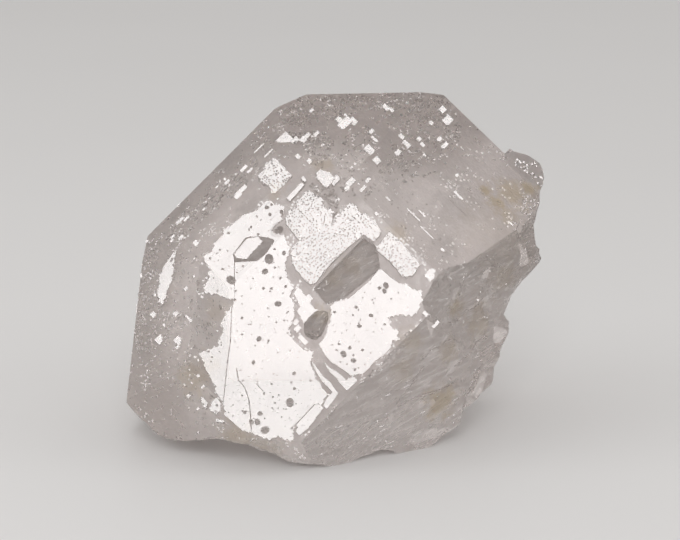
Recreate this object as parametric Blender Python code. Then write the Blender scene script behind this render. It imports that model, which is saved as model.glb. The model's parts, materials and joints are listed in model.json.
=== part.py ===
"""A colourless fluorite crystal, about 54 mm across, standing on its broken underside.

The crystal is modelled in its face frame: X to the right and Y up across the large cube face, Z straight out
of that face, with the origin at the middle of the face. The cube's edges run along the diagonals of X and Y.
The last step leans the crystal back and sets it on the table.
"""

import math
import random
from collections import namedtuple

import bmesh
import bpy
from mathutils import Matrix, Vector, noise

# Driving dimensions, in metres and degrees.
LEAN_BACK = 24.0  # how far the cube face is tilted up from upright
FACE_CENTRE = Vector((-0.00058, -0.01658, 0.0236))  # where the middle of the cube face stands
DEPTH = 0.036  # from the cube face to the one behind it
CUBE_EDGE_TURN = 45.0  # the cube's edges against the face frame's X axis
BLANK_SIZE = 0.090  # the block that the facets are cut from
FACE_GROUND = -0.0006  # the frosted floor of the cube face, between its raised plates
ROOT = 0.0016  # how deep a plate or tile is sunk in what it grows from
TILE_STEP = 0.55  # how far a tile stands out of a bevel, for its longer side
PIT_FLOOR = 0.45  # a pit's floor, for its width at its rim
TABLE_SIZE = (0.2, 0.2, 0.05)  # the block below the surface that the crystal is ground off against

# The broken side is a blunt drum round this point of the face frame, wider at its rim than at its ends.
BREAK_CENTRE = Vector((0.0, 0.0028, -0.0160))
BREAK_BAND = 0.0010  # half the height of its blunt rim
BREAK_SLOPE_FRONT = 68.0
BREAK_SLOPE_BACK = 79.0
FRACTURE_TOWARD = -32.0  # where the break runs furthest over the front
FRACTURE_EASE = 19.0  # how much flatter the drum's front is there
BREAK_LUMPS = 0.0009  # how far its lumps stand out
BREAK_LUMPS_PER_METRE = 190
LUMP_FALL, LUMP_STEP, LUMP_OCTAVES = 0.8, 2.1, 4
CLEAR_OF_CRYSTAL = 0.046  # the drum's radius where nothing is broken off
TINY = 1e-6

# From the face frame to the crystal as it stands on the table.
STANDING = Matrix.Translation(FACE_CENTRE) @ Matrix.Rotation(math.radians(90 - LEAN_BACK), 4, "X")

Facet = namedtuple("Facet", "toward tilt reach level")
Plate = namedtuple("Plate", "name level tread seed corners")
Block = namedtuple("Block", "across up length width level turn")
Tile = namedtuple("Tile", "across up length width")
Mosaic = namedtuple("Mosaic", "name side count smallest largest seed corners")
Pit = namedtuple("Pit", "across up width depth level")
Rim = namedtuple("Rim", "across up level")

# Each flat face: the way it looks across the face frame, its tilt from the cube face, and how far from the
# axis it passes at its level.
FACETS = (
    Facet(45, 35, 0.0095, 0.0),
    Facet(136, 50, 0.0140, 0.0),
    Facet(225, 45, 0.0208, 0.0),
    Facet(315, 45, 0.0110, 0.0),
    Facet(91.5, 40, 0.0125, 0.0),
    Facet(174, 45, 0.0172, 0.0),
    Facet(268, 50, 0.0205, 0.0),
    Facet(0, 42, 0.0135, 0.0),
    Facet(45, 90, 0.0311, 0.0),
    Facet(136, 90, 0.0242, 0.0),
    Facet(225, 90, 0.0300, 0.0),
    Facet(315, 90, 0.0260, 0.0),
    Facet(91, 90, 0.0287, 0.0),
    Facet(120, 90, 0.0268, 0.0),
    Facet(174.5, 90, 0.0262, 0.0),
    Facet(45, 142, 0.0190, -DEPTH),
    Facet(135, 140, 0.0130, -DEPTH),
    Facet(225, 132, 0.0170, -DEPTH),
    Facet(315, 135, 0.0150, -DEPTH),
    Facet(90, 128, 0.0160, -DEPTH),
    Facet(180, 130, 0.0150, -DEPTH),
    Facet(270, 130, 0.0150, -DEPTH),
)

# The raised plates of the cube face, and two lower ones beside it: the level of the top, the length of the steps
# along the edge, and the corners (across, up) in the face frame.
PLATES = (
    Plate("left plate", 0.0, 0.0009, 3, (
        (-0.0087, 0.0107), (-0.0135, 0.0079), (-0.0158, 0.0050), (-0.0170, 0.0034), (-0.0166, 0.0010),
        (-0.0170, -0.0010), (-0.0134, -0.0020), (-0.0146, -0.0058), (-0.0172, -0.0095), (-0.0160, -0.0117),
        (-0.0152, -0.0150), (-0.0142, -0.0168), (-0.0120, -0.0190), (-0.0051, -0.0207), (0.0005, -0.0145),
        (-0.0011, -0.0145), (-0.0031, -0.0111), (-0.0027, -0.0091), (-0.0051, -0.0066), (-0.0051, -0.0026),
        (-0.0063, 0.0010), (-0.0057, 0.0035), (-0.0071, 0.0063), (-0.0063, 0.0091))),
    Plate("middle plate", 0.0009, 0.0011, 5, (
        (-0.0059, 0.0095), (-0.0047, 0.0115), (-0.0031, 0.0121), (-0.0015, 0.0111), (-0.0009, 0.0095),
        (-0.0001, 0.0090), (0.0013, 0.0101), (0.0033, 0.0099), (0.0061, 0.0069), (0.0050, 0.0053),
        (0.0041, 0.0063), (-0.0027, -0.0008), (-0.0055, 0.0014), (-0.0057, 0.0034), (-0.0049, 0.0051),
        (-0.0065, 0.0075))),
    Plate("right plate", -0.0001, 0.0012, 7, (
        (0.0058, 0.0016), (0.0077, 0.0002), (0.0112, -0.0010), (0.0110, -0.0038), (0.0067, -0.0044),
        (0.0086, -0.0066), (0.0053, -0.0107), (0.0033, -0.0123), (0.0013, -0.0119), (-0.0021, -0.0079),
        (-0.0011, -0.0058), (-0.0005, -0.0030), (0.0013, -0.0022), (0.0033, -0.0006))),
    Plate("left sliver", -0.0042, 0, 19, (
        (-0.0210, 0.0051), (-0.0211, 0.0033), (-0.0213, 0.0007), (-0.0219, 0.0006), (-0.0224, -0.0022),
        (-0.0234, -0.0019), (-0.0235, 0.0002), (-0.0231, 0.0015), (-0.0227, 0.0029), (-0.0219, 0.0043))),
    Plate("lower left chip", -0.0004, 0, 23, (
        (-0.0175, -0.0150), (-0.0168, -0.0149), (-0.0162, -0.0157), (-0.0151, -0.0152), (-0.0146, -0.0161),
        (-0.0145, -0.0170), (-0.0156, -0.0176), (-0.0163, -0.0167), (-0.0173, -0.0157))),
)

# Single blocks of the cube face: across, up, size along the two cube edges, level of its top, extra turn.
BLOCKS = (
    Block(-0.0078, 0.0140, 0.0032, 0.0031, 0.0007, 0),
    Block(-0.0051, 0.0120, 0.0027, 0.0007, 0.0004, 0),
    Block(-0.0041, 0.0135, 0.0006, 0.0007, 0.0004, 0),
    Block(-0.0012, 0.0139, 0.0019, 0.0017, 0.0006, 0),
    Block(0.0021, 0.0130, 0.0011, 0.0017, 0.0002, 0),
    Block(0.0037, 0.0132, 0.0010, 0.0008, 0.0, 0),
    Block(0.0083, 0.0038, 0.0022, 0.0045, 0.0006, 0),
    Block(0.0122, 0.0011, 0.0013, 0.0011, -0.0004, 0),
    Block(-0.0114, 0.0046, 0.0029, 0.0015, 0.0007, 2),
    Block(-0.0037, -0.0027, 0.0014, 0.0030, -0.0002, 0),
    Block(-0.0053, -0.0058, 0.0007, 0.0010, 0.0001, 0),
    Block(-0.0045, -0.0069, 0.0006, 0.0018, 0.0001, 0),
    Block(-0.0023, -0.0100, 0.0005, 0.0040, -0.0001, 0),
    Block(-0.0005, -0.0112, 0.0008, 0.0044, -0.0002, 0),
    Block(0.0010, -0.0133, 0.0030, 0.0007, -0.0002, 0),
    Block(0.0262, 0.0155, 0.0100, 0.0110, -0.0145, 0),
)

# Cube corners that stand out of the bevels: across, up, and size along the two cube edges.
TILES = (
    Tile(0.0002, 0.0233, 0.0008, 0.0014), Tile(0.0021, 0.0229, 0.0017, 0.0013),
    Tile(0.0046, 0.0188, 0.0012, 0.0016), Tile(0.0056, 0.0172, 0.0010, 0.0013),
    Tile(-0.0117, 0.0133, 0.0024, 0.0009), Tile(-0.0072, 0.0206, 0.0010, 0.0011),
    Tile(-0.0050, 0.0207, 0.0016, 0.0009), Tile(0.0054, 0.0212, 0.0009, 0.0014),
    Tile(0.0071, 0.0261, 0.0010, 0.0019), Tile(0.0153, 0.0246, 0.0014, 0.0016),
    Tile(0.0149, 0.0206, 0.0013, 0.0010), Tile(0.0097, 0.0201, 0.0010, 0.0015),
    Tile(0.0085, 0.0186, 0.0013, 0.0010), Tile(0.0149, 0.0262, 0.0012, 0.0012),
    Tile(0.0119, 0.0204, 0.0009, 0.0012), Tile(0.0132, 0.0176, 0.0009, 0.0014),
    Tile(-0.0205, 0.0096, 0.0020, 0.0009), Tile(-0.0231, -0.0070, 0.0012, 0.0014),
    Tile(-0.0206, -0.0076, 0.0016, 0.0016), Tile(-0.0191, -0.0145, 0.0009, 0.0011),
    Tile(-0.0149, -0.0178, 0.0009, 0.0012), Tile(-0.0245, -0.0016, 0.0010, 0.0010),
)

# Where more of them are scattered: on the front at side 1, on the back at side -1.
MOSAICS = (
    Mosaic("top mosaic", 1, 34, 0.0010, 0.0022, 11, (
        (-0.0110, 0.0190), (-0.0080, 0.0270), (0.0000, 0.0280), (0.0160, 0.0280), (0.0170, 0.0220),
        (0.0090, 0.0150), (0.0000, 0.0165))),
    Mosaic("left mosaic", 1, 26, 0.0010, 0.0020, 17, (
        (-0.0250, 0.0045), (-0.0200, 0.0060), (-0.0195, -0.0100), (-0.0180, -0.0140), (-0.0255, -0.0140))),
    Mosaic("back mosaic", -1, 90, 0.0012, 0.0032, 29, (
        (-0.0230, -0.0080), (-0.0230, 0.0090), (-0.0060, 0.0260), (0.0150, 0.0260), (0.0220, 0.0160),
        (0.0220, -0.0080))),
)

# Square growth pits, with their corners along X and Y.
PITS = (
    Pit(-0.0137, 0.0004, 0.0011, 0.0007, 0.0),
    Pit(-0.0092, 0.0015, 0.0009, 0.0006, 0.0),
    Pit(-0.0087, 0.0029, 0.0014, 0.0008, 0.0),
    Pit(-0.0075, -0.0029, 0.0010, 0.0006, 0.0),
    Pit(-0.0098, -0.0075, 0.0011, 0.0006, 0.0),
    Pit(-0.0059, -0.0157, 0.0012, 0.0007, 0.0),
    Pit(-0.0091, -0.0197, 0.0010, 0.0006, 0.0),
    Pit(0.0010, -0.0098, 0.0009, 0.0006, -0.0001),
    Pit(0.0066, -0.0004, 0.0009, 0.0005, -0.0001),
    Pit(-0.0027, -0.0062, 0.0028, 0.0016, -0.0001),
)

# The trench between the middle and the right plate. Its floor rises away from the middle plate.
TRENCH = ((0.00405, 0.00635), (0.0055, 0.0046), (0.0059, 0.0018), (0.0032, -0.0004), (0.0013, -0.0020),
          (-0.0012, -0.0028), (-0.00275, -0.00075))
TRENCH_FLOOR = -0.0019
TRENCH_RISE = 0.20  # the floor's slope
TRENCH_TOP = 0.0030  # the top of its cutter

# The broken rim, from the lower left round the base and up the right side.
BROKEN_RIM = (
    Rim(-0.0277, -0.0147, -0.009), Rim(-0.0271, -0.0163, -0.008), Rim(-0.0253, -0.0189, -0.007),
    Rim(-0.0238, -0.0198, -0.006), Rim(-0.0203, -0.0199, -0.005), Rim(-0.0152, -0.0200, -0.004),
    Rim(-0.0084, -0.0213, -0.003), Rim(-0.0045, -0.0230, -0.004), Rim(-0.0019, -0.0235, -0.004),
    Rim(-0.0003, -0.0244, -0.004), Rim(0.0019, -0.0232, -0.004), Rim(0.0046, -0.0219, -0.005),
    Rim(0.0070, -0.0208, -0.006), Rim(0.0084, -0.0219, -0.007), Rim(0.0096, -0.0228, -0.007),
    Rim(0.0120, -0.0213, -0.009), Rim(0.0149, -0.0192, -0.011), Rim(0.0172, -0.0168, -0.013),
    Rim(0.0181, -0.0147, -0.014), Rim(0.0203, -0.0128, -0.015), Rim(0.0221, -0.0110, -0.016),
    Rim(0.0223, -0.0087, -0.016), Rim(0.0228, -0.0067, -0.016), Rim(0.0239, -0.0046, -0.016),
    Rim(0.0242, -0.0028, -0.016), Rim(0.0236, -0.0016, -0.015), Rim(0.0240, 0.0001, -0.015),
    Rim(0.0254, 0.0033, -0.015), Rim(0.0272, 0.0044, -0.016), Rim(0.0280, 0.0058, -0.016),
    Rim(0.0280, 0.0075, -0.016), Rim(0.0270, 0.0092, -0.014), Rim(0.0277, 0.0117, -0.014),
    Rim(0.0279, 0.0152, -0.014), Rim(0.0285, 0.0173, -0.014), Rim(0.0284, 0.0196, -0.014),
    Rim(0.0238, 0.0212, -0.016), Rim(0.0250, 0.0260, -0.016), Rim(0.0280, 0.0420, -0.016),
)


def across_and_up(degrees):
    """The unit vector of the face frame's XY plane in this direction."""
    return Vector((math.cos(math.radians(degrees)), math.sin(math.radians(degrees)), 0.0))


def growth_height(across, up, side=1):
    """The level of the faceted front or, at side -1, of the faceted back."""
    here = Vector((across, up, 0.0))
    out_most = FACE_GROUND if side > 0 else DEPTH
    for facet in FACETS:
        if facet.tilt != 90 and (facet.tilt < 90) == (side > 0):
            past = here.dot(across_and_up(facet.toward)) - facet.reach
            height = side * facet.level - past * abs(math.tan(math.radians(facet.tilt)))
            out_most = min(out_most, height)
    return side * out_most


def new_object(name, bm, collection):
    """An object made from a bmesh in the face frame, standing as the crystal stands."""
    bmesh.ops.recalc_face_normals(bm, faces=bm.faces)
    mesh = bpy.data.meshes.new(name)
    bm.to_mesh(mesh)
    bm.free()
    made = bpy.data.objects.new(name, mesh)
    made.matrix_world = STANDING
    collection.objects.link(made)
    return made


def helper_collection(name):
    """A collection for the shapes that the crystal is joined with or cut by."""
    collection = bpy.data.collections.new(name)
    bpy.context.scene.collection.children.link(collection)
    collection.hide_render = True
    return collection


def hide_helper(helper):
    helper.hide_render = True
    helper.display_type = "WIRE"


def cut_facet(bm, point, normal):
    """Cuts the closed body off past a plane and closes the cut with one flat face."""
    everything = bm.verts[:] + bm.edges[:] + bm.faces[:]
    bmesh.ops.bisect_plane(bm, geom=everything, dist=1e-7, plane_co=point, plane_no=normal, clear_outer=True)
    open_edges = [edge for edge in bm.edges if edge.is_boundary]
    if open_edges:
        bmesh.ops.holes_fill(bm, edges=open_edges, sides=0)


def faceted_body(collection):
    """The whole crystal as it grew, with every flat face and nothing broken."""
    bm = bmesh.new()
    bmesh.ops.create_cube(bm, size=BLANK_SIZE)
    cut_facet(bm, Vector((0, 0, FACE_GROUND)), Vector((0, 0, 1)))
    cut_facet(bm, Vector((0, 0, -DEPTH)), Vector((0, 0, -1)))
    for facet in FACETS:
        out = across_and_up(facet.toward)
        tilt = math.radians(facet.tilt)
        normal = out * math.sin(tilt) + Vector((0, 0, math.cos(tilt)))
        cut_facet(bm, out * facet.reach + Vector((0, 0, facet.level)), normal)
    return new_object("fluorite_crystal", bm, collection)


def growth_steps(corners, tread, seed):
    """The outline in treads that run along the two cube edges, as growth layers end."""
    rng = random.Random(seed)
    turn = Matrix.Rotation(math.radians(CUBE_EDGE_TURN), 2)
    along_edges = [Vector(corner) @ turn for corner in corners]
    path = []
    for start, end in zip(along_edges, along_edges[1:] + along_edges[:1]):
        side = end - start
        path.append(start)
        if tread == 0 or min(abs(side.x), abs(side.y)) < 0.4 * tread:
            continue
        treads = max(1, round(side.length / tread))
        shares = sorted(rng.uniform(0.1, 0.9) for _ in range(treads - 1)) + [1.0]
        here = start
        for share in shares:
            there = start + side * share
            path.append(Vector((there.x, here.y)))
            if share < 1.0:
                path.append(there)
            here = there
    return [turn @ point for point in path]


def add_plate(plate, collection):
    """One raised growth layer of the cube face."""
    bm = bmesh.new()
    outline = growth_steps(plate.corners, plate.tread, plate.seed)
    top = bm.faces.new([bm.verts.new((p.x, p.y, plate.level)) for p in outline])
    sides = bmesh.ops.extrude_face_region(bm, geom=[top])
    base = [part for part in sides["geom"] if isinstance(part, bmesh.types.BMVert)]
    bmesh.ops.translate(bm, verts=base, vec=(0, 0, min(FACE_GROUND - plate.level, 0) - ROOT))
    hide_helper(new_object(plate.name, bm, collection))


def add_block(name, centre, size, turn, collection):
    """One cuboid with its edges along the cube's edges, given by the middle of its top."""
    bm = bmesh.new()
    bmesh.ops.create_cube(bm, size=1.0)
    bmesh.ops.scale(bm, vec=size, verts=bm.verts)
    bmesh.ops.translate(bm, vec=(0, 0, -size[2] / 2), verts=bm.verts)
    bmesh.ops.rotate(bm, matrix=Matrix.Rotation(math.radians(CUBE_EDGE_TURN + turn), 3, "Z"), verts=bm.verts)
    bmesh.ops.translate(bm, vec=centre, verts=bm.verts)
    block = new_object(name, bm, collection)
    hide_helper(block)
    return block


def inside(point, corners):
    """Whether a point of the XY plane lies in the polygon."""
    within = False
    for (ax, ay), (bx, by) in zip(corners, corners[1:] + corners[:1]):
        if (ay > point.y) != (by > point.y) and point.x < (bx - ax) * (point.y - ay) / (by - ay) + ax:
            within = not within
    return within


def add_tile(name, across, up, length, width, side, collection):
    """A cube corner that stands out of a bevel, with its top parallel to the cube face."""
    step = TILE_STEP * max(length, width)
    level = growth_height(across, up, side) + side * step
    tall = ROOT + 2 * step
    if side < 0:
        level += tall
    add_block(name, (across, up, level), (length, width, tall), 0, collection)


def add_mosaic(mosaic, collection):
    """Cube corners scattered over a stretch of the bevels."""
    rng = random.Random(mosaic.seed)
    left, right = min(c[0] for c in mosaic.corners), max(c[0] for c in mosaic.corners)
    low, high = min(c[1] for c in mosaic.corners), max(c[1] for c in mosaic.corners)
    made = 0
    while made < mosaic.count:
        here = Vector((rng.uniform(left, right), rng.uniform(low, high)))
        if not inside(here, mosaic.corners):
            continue
        length, width = (rng.uniform(mosaic.smallest, mosaic.largest) for _ in range(2))
        add_tile(f"{mosaic.name} {made}", here.x, here.y, length, width, mosaic.side, collection)
        made += 1


def add_pit(name, pit, collection):
    """A square pit that narrows to its floor. Its cutter is as tall again over the rim as below it."""
    bm = bmesh.new()
    corner = pit.width * math.sqrt(0.5)
    floor = corner * PIT_FLOOR
    bmesh.ops.create_cone(
        bm, cap_ends=True, segments=4, radius1=floor, radius2=2 * corner - floor, depth=2 * pit.depth)
    bmesh.ops.translate(bm, vec=(pit.across, pit.up, pit.level), verts=bm.verts)
    hide_helper(new_object(name, bm, collection))


def add_trench(collection):
    """A prism over the trench, with a floor that rises from the wall of the middle plate."""
    bm = bmesh.new()
    floor = bm.faces.new([bm.verts.new((x, y, TRENCH_FLOOR)) for x, y in TRENCH])
    wall_end, wall_start = (Vector((x, y, 0)) for x, y in (TRENCH[0], TRENCH[-1]))
    away = (wall_end - wall_start).cross(Vector((0, 0, 1))).normalized()
    for vert in floor.verts:
        vert.co.z += TRENCH_RISE * (vert.co - wall_start).dot(away)
    lid = bmesh.ops.extrude_face_region(bm, geom=[floor])
    for part in lid["geom"]:
        if isinstance(part, bmesh.types.BMVert):
            part.co.z = TRENCH_TOP
    hide_helper(new_object("trench", bm, collection))


def rim_at(degrees):
    """The broken rim's radius and level in this direction round BREAK_CENTRE, straight between its points."""
    spans = []
    for rim in BROKEN_RIM:
        here = Vector((rim.across, rim.up)) - BREAK_CENTRE.xy
        spans.append((math.degrees(math.atan2(here.y, here.x)), here.length, rim.level))
    for (before, near, here), (after, far, there) in zip(spans, spans[1:]):
        if before <= degrees <= after:
            share = (degrees - before) / (after - before)
            return near + (far - near) * share, here + (there - here) * share
    return CLEAR_OF_CRYSTAL, BREAK_CENTRE.z


def broken_blank(collection):
    """A blunt drum with the broken rim and a lumpy skin. What lies outside it was broken off."""
    bm = bmesh.new()
    bmesh.ops.create_icosphere(bm, subdivisions=5, radius=1.0)
    back = math.tan(math.radians(BREAK_SLOPE_BACK))
    for vert in bm.verts:
        way = vert.co.normalized()
        degrees = math.degrees(math.atan2(way.y, way.x))
        radius, level = rim_at(degrees)
        eased = FRACTURE_EASE * max(0.0, math.cos(math.radians(degrees - FRACTURE_TOWARD)))
        front = math.tan(math.radians(BREAK_SLOPE_FRONT - eased))
        outward = math.hypot(way.x, way.y)
        front_end = level - BREAK_CENTRE.z + BREAK_BAND + radius * front
        back_end = BREAK_CENTRE.z - level + BREAK_BAND + radius * back
        reaches = (
            front_end / max(way.z + outward * front, TINY),
            back_end / max(outward * back - way.z, TINY),
            radius / max(outward, TINY))
        vert.co = BREAK_CENTRE + way * min(reaches)
        lump = noise.fractal(vert.co * BREAK_LUMPS_PER_METRE, LUMP_FALL, LUMP_STEP, LUMP_OCTAVES)
        vert.co += way * lump * BREAK_LUMPS
    blank = new_object("broken blank", bm, collection)
    hide_helper(blank)
    return blank


def boolean(target, operation, operand):
    """Adds a Boolean modifier with one object or a whole collection."""
    modifier = target.modifiers.new(operation.lower(), "BOOLEAN")
    modifier.operation = operation
    modifier.solver = "EXACT"
    if isinstance(operand, bpy.types.Collection):
        modifier.operand_type = "COLLECTION"
        modifier.collection = operand
    else:
        modifier.object = operand


def crystal_material():
    material = bpy.data.materials.new("clear fluorite")
    material.use_nodes = True
    shader = material.node_tree.nodes["Principled BSDF"]
    shader.inputs["Base Color"].default_value = (0.78, 0.75, 0.73, 1.0)
    shader.inputs["Roughness"].default_value = 0.2
    shader.inputs["Metallic"].default_value = 0.0
    shader.inputs["IOR"].default_value = 1.434
    shader.inputs["Transmission Weight"].default_value = 0.7
    return material


def main():
    for old in list(bpy.data.objects):
        bpy.data.objects.remove(old, do_unlink=True)
    model = bpy.data.collections.new("Fluorite crystal")
    bpy.context.scene.collection.children.link(model)
    growths = helper_collection("Growth layers")
    hollows = helper_collection("Hollows")
    cutters = helper_collection("Cutters")

    crystal = faceted_body(model)
    for plate in PLATES:
        add_plate(plate, growths)
    for number, block in enumerate(BLOCKS):
        size = (block.length, block.width, max(block.level - FACE_GROUND, block.length) + ROOT)
        add_block(f"block {number}", (block.across, block.up, block.level), size, block.turn, growths)
    for number, tile in enumerate(TILES):
        add_tile(f"tile {number}", tile.across, tile.up, tile.length, tile.width, 1, growths)
    for mosaic in MOSAICS:
        add_mosaic(mosaic, growths)
    for number, pit in enumerate(PITS):
        add_pit(f"pit {number}", pit, hollows)
    add_trench(hollows)
    boolean(crystal, "UNION", growths)
    boolean(crystal, "DIFFERENCE", hollows)
    boolean(crystal, "INTERSECT", broken_blank(cutters))

    table = add_block("table", (0, 0, 0), TABLE_SIZE, 0, cutters)
    table.matrix_world = Matrix.Identity(4)
    boolean(crystal, "DIFFERENCE", table)
    crystal.data.materials.append(crystal_material())


main()
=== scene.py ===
"""The finished look of a colourless fluorite crystal, laid out as a Blender add-on and run as a script.

The crystal is one closed solid. Its growth layers, cube corners, pits, cracks and broken side are modelled
in the face frame: X to the right and Y up across the large cube face, and Z straight out of that face. The
cube's edges run along the diagonals of X and Y. Points given as x, y are in image pixels as the camera sees
them.
"""

import json
import math
import random
from collections import namedtuple

import bmesh
import bpy
from mathutils import Matrix, Vector, noise
from mathutils.bvhtree import BVHTree
from mathutils.geometry import intersect_line_line_2d

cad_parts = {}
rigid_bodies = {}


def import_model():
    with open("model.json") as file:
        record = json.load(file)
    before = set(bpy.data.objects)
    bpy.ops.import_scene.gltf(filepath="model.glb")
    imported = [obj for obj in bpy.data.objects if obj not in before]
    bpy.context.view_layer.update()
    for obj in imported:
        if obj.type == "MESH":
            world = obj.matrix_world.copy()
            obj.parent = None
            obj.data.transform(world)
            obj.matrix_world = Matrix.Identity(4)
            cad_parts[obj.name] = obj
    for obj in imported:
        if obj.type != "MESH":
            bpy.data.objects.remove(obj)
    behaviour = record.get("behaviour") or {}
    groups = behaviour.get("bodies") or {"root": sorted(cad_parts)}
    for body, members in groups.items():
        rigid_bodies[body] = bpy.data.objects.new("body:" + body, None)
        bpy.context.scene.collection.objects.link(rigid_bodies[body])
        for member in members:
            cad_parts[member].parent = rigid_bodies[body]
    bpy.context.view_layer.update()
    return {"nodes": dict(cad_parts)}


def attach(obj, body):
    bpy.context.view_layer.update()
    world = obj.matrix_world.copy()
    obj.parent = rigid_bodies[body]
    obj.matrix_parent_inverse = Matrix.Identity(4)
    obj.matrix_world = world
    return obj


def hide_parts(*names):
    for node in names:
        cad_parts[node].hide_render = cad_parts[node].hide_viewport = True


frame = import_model()

bl_info = {
    "name": "Fluorite Crystal",
    "version": (1, 0, 0),
    "blender": (4, 5, 0),
    "location": "3D View > Sidebar > Fluorite",
    "description": "Models and finishes a fluorite crystal on a pale studio floor",
    "category": "Object",
}

NODE = "fluorite_crystal"
PIECE = "crystal"

# The face frame as it stands, in metres and degrees.
LEAN_BACK = 24.0
FACE_CENTRE = Vector((-0.00058, -0.01658, 0.0236))
STANDING = Matrix.Translation(FACE_CENTRE) @ Matrix.Rotation(math.radians(90 - LEAN_BACK), 4, "X")
TO_FACE = STANDING.inverted()
FACE_NORMAL = STANDING.to_3x3() @ Vector((0, 0, 1))
CUBE_EDGE_TURN = math.radians(45)
STRING_TURN = math.radians(28)  # the way the strings of the broken side run
MM = 0.001

# The camera, and the size of one image pixel at the middle of the cube face.
IMAGE_SIZE = (680, 540)
PIXEL = 0.00013
LENS, SENSOR = 120.0, 36.0
CAMERA_RISE = math.radians(14)
IMAGE_SHIFT = (5, 12)  # where the middle of the cube face stands, in pixels left of and below the centre
FOCAL = IMAGE_SIZE[0] * LENS / SENSOR
RIGHT = Vector((1, 0, 0))
OVER = Vector((0, math.sin(CAMERA_RISE), math.cos(CAMERA_RISE)))
BACK = Vector((0, -math.cos(CAMERA_RISE), math.sin(CAMERA_RISE)))
CAMERA_AIM = FACE_CENTRE + (RIGHT * IMAGE_SHIFT[0] + OVER * IMAGE_SHIFT[1]) * PIXEL
CAMERA_AT = CAMERA_AIM + BACK * PIXEL * FOCAL

GROUND = -0.62 * MM  # the frosted floor of the cube face, between its raised layers
ROOT = 1.6 * MM  # how deep a tile is sunk in what it grows from
LAYER_ROOT = 3.6 * MM  # how deep a layer is sunk, past the bevels that fall away under it

SLACK = 1e-5  # how far two levels may differ and still be the same
SAME_PLANE, SAME_WAY = 2e-6, 0.9999  # the same for a face and the plane that cut it
STAMP_TAPER = 0.985  # the top of a cube corner, as a share of its foot
TREAD_LEAST, TREAD_SHARES = 0.3, (0.05, 0.95)  # the shortest side that is stepped, and where treads may end
WEDGE_TOP = 0.4 * MM  # how far a crack's wedge begins over the surface

Layer = namedtuple("Layer", "level tread seed outline")
Tile = namedtuple("Tile", "x y rising falling step")
Zone = namedtuple("Zone", "count smallest largest stretch tilt step seed outline")
Pit = namedtuple("Pit", "x y width")
Crack = namedtuple("Crack", "width depth path")
Spot = namedtuple("Spot", "x y radius strength")
Chip = namedtuple("Chip", "x y wide tall turn tilt sink")
Facet = namedtuple("Facet", "toward tilt reach level")

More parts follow.
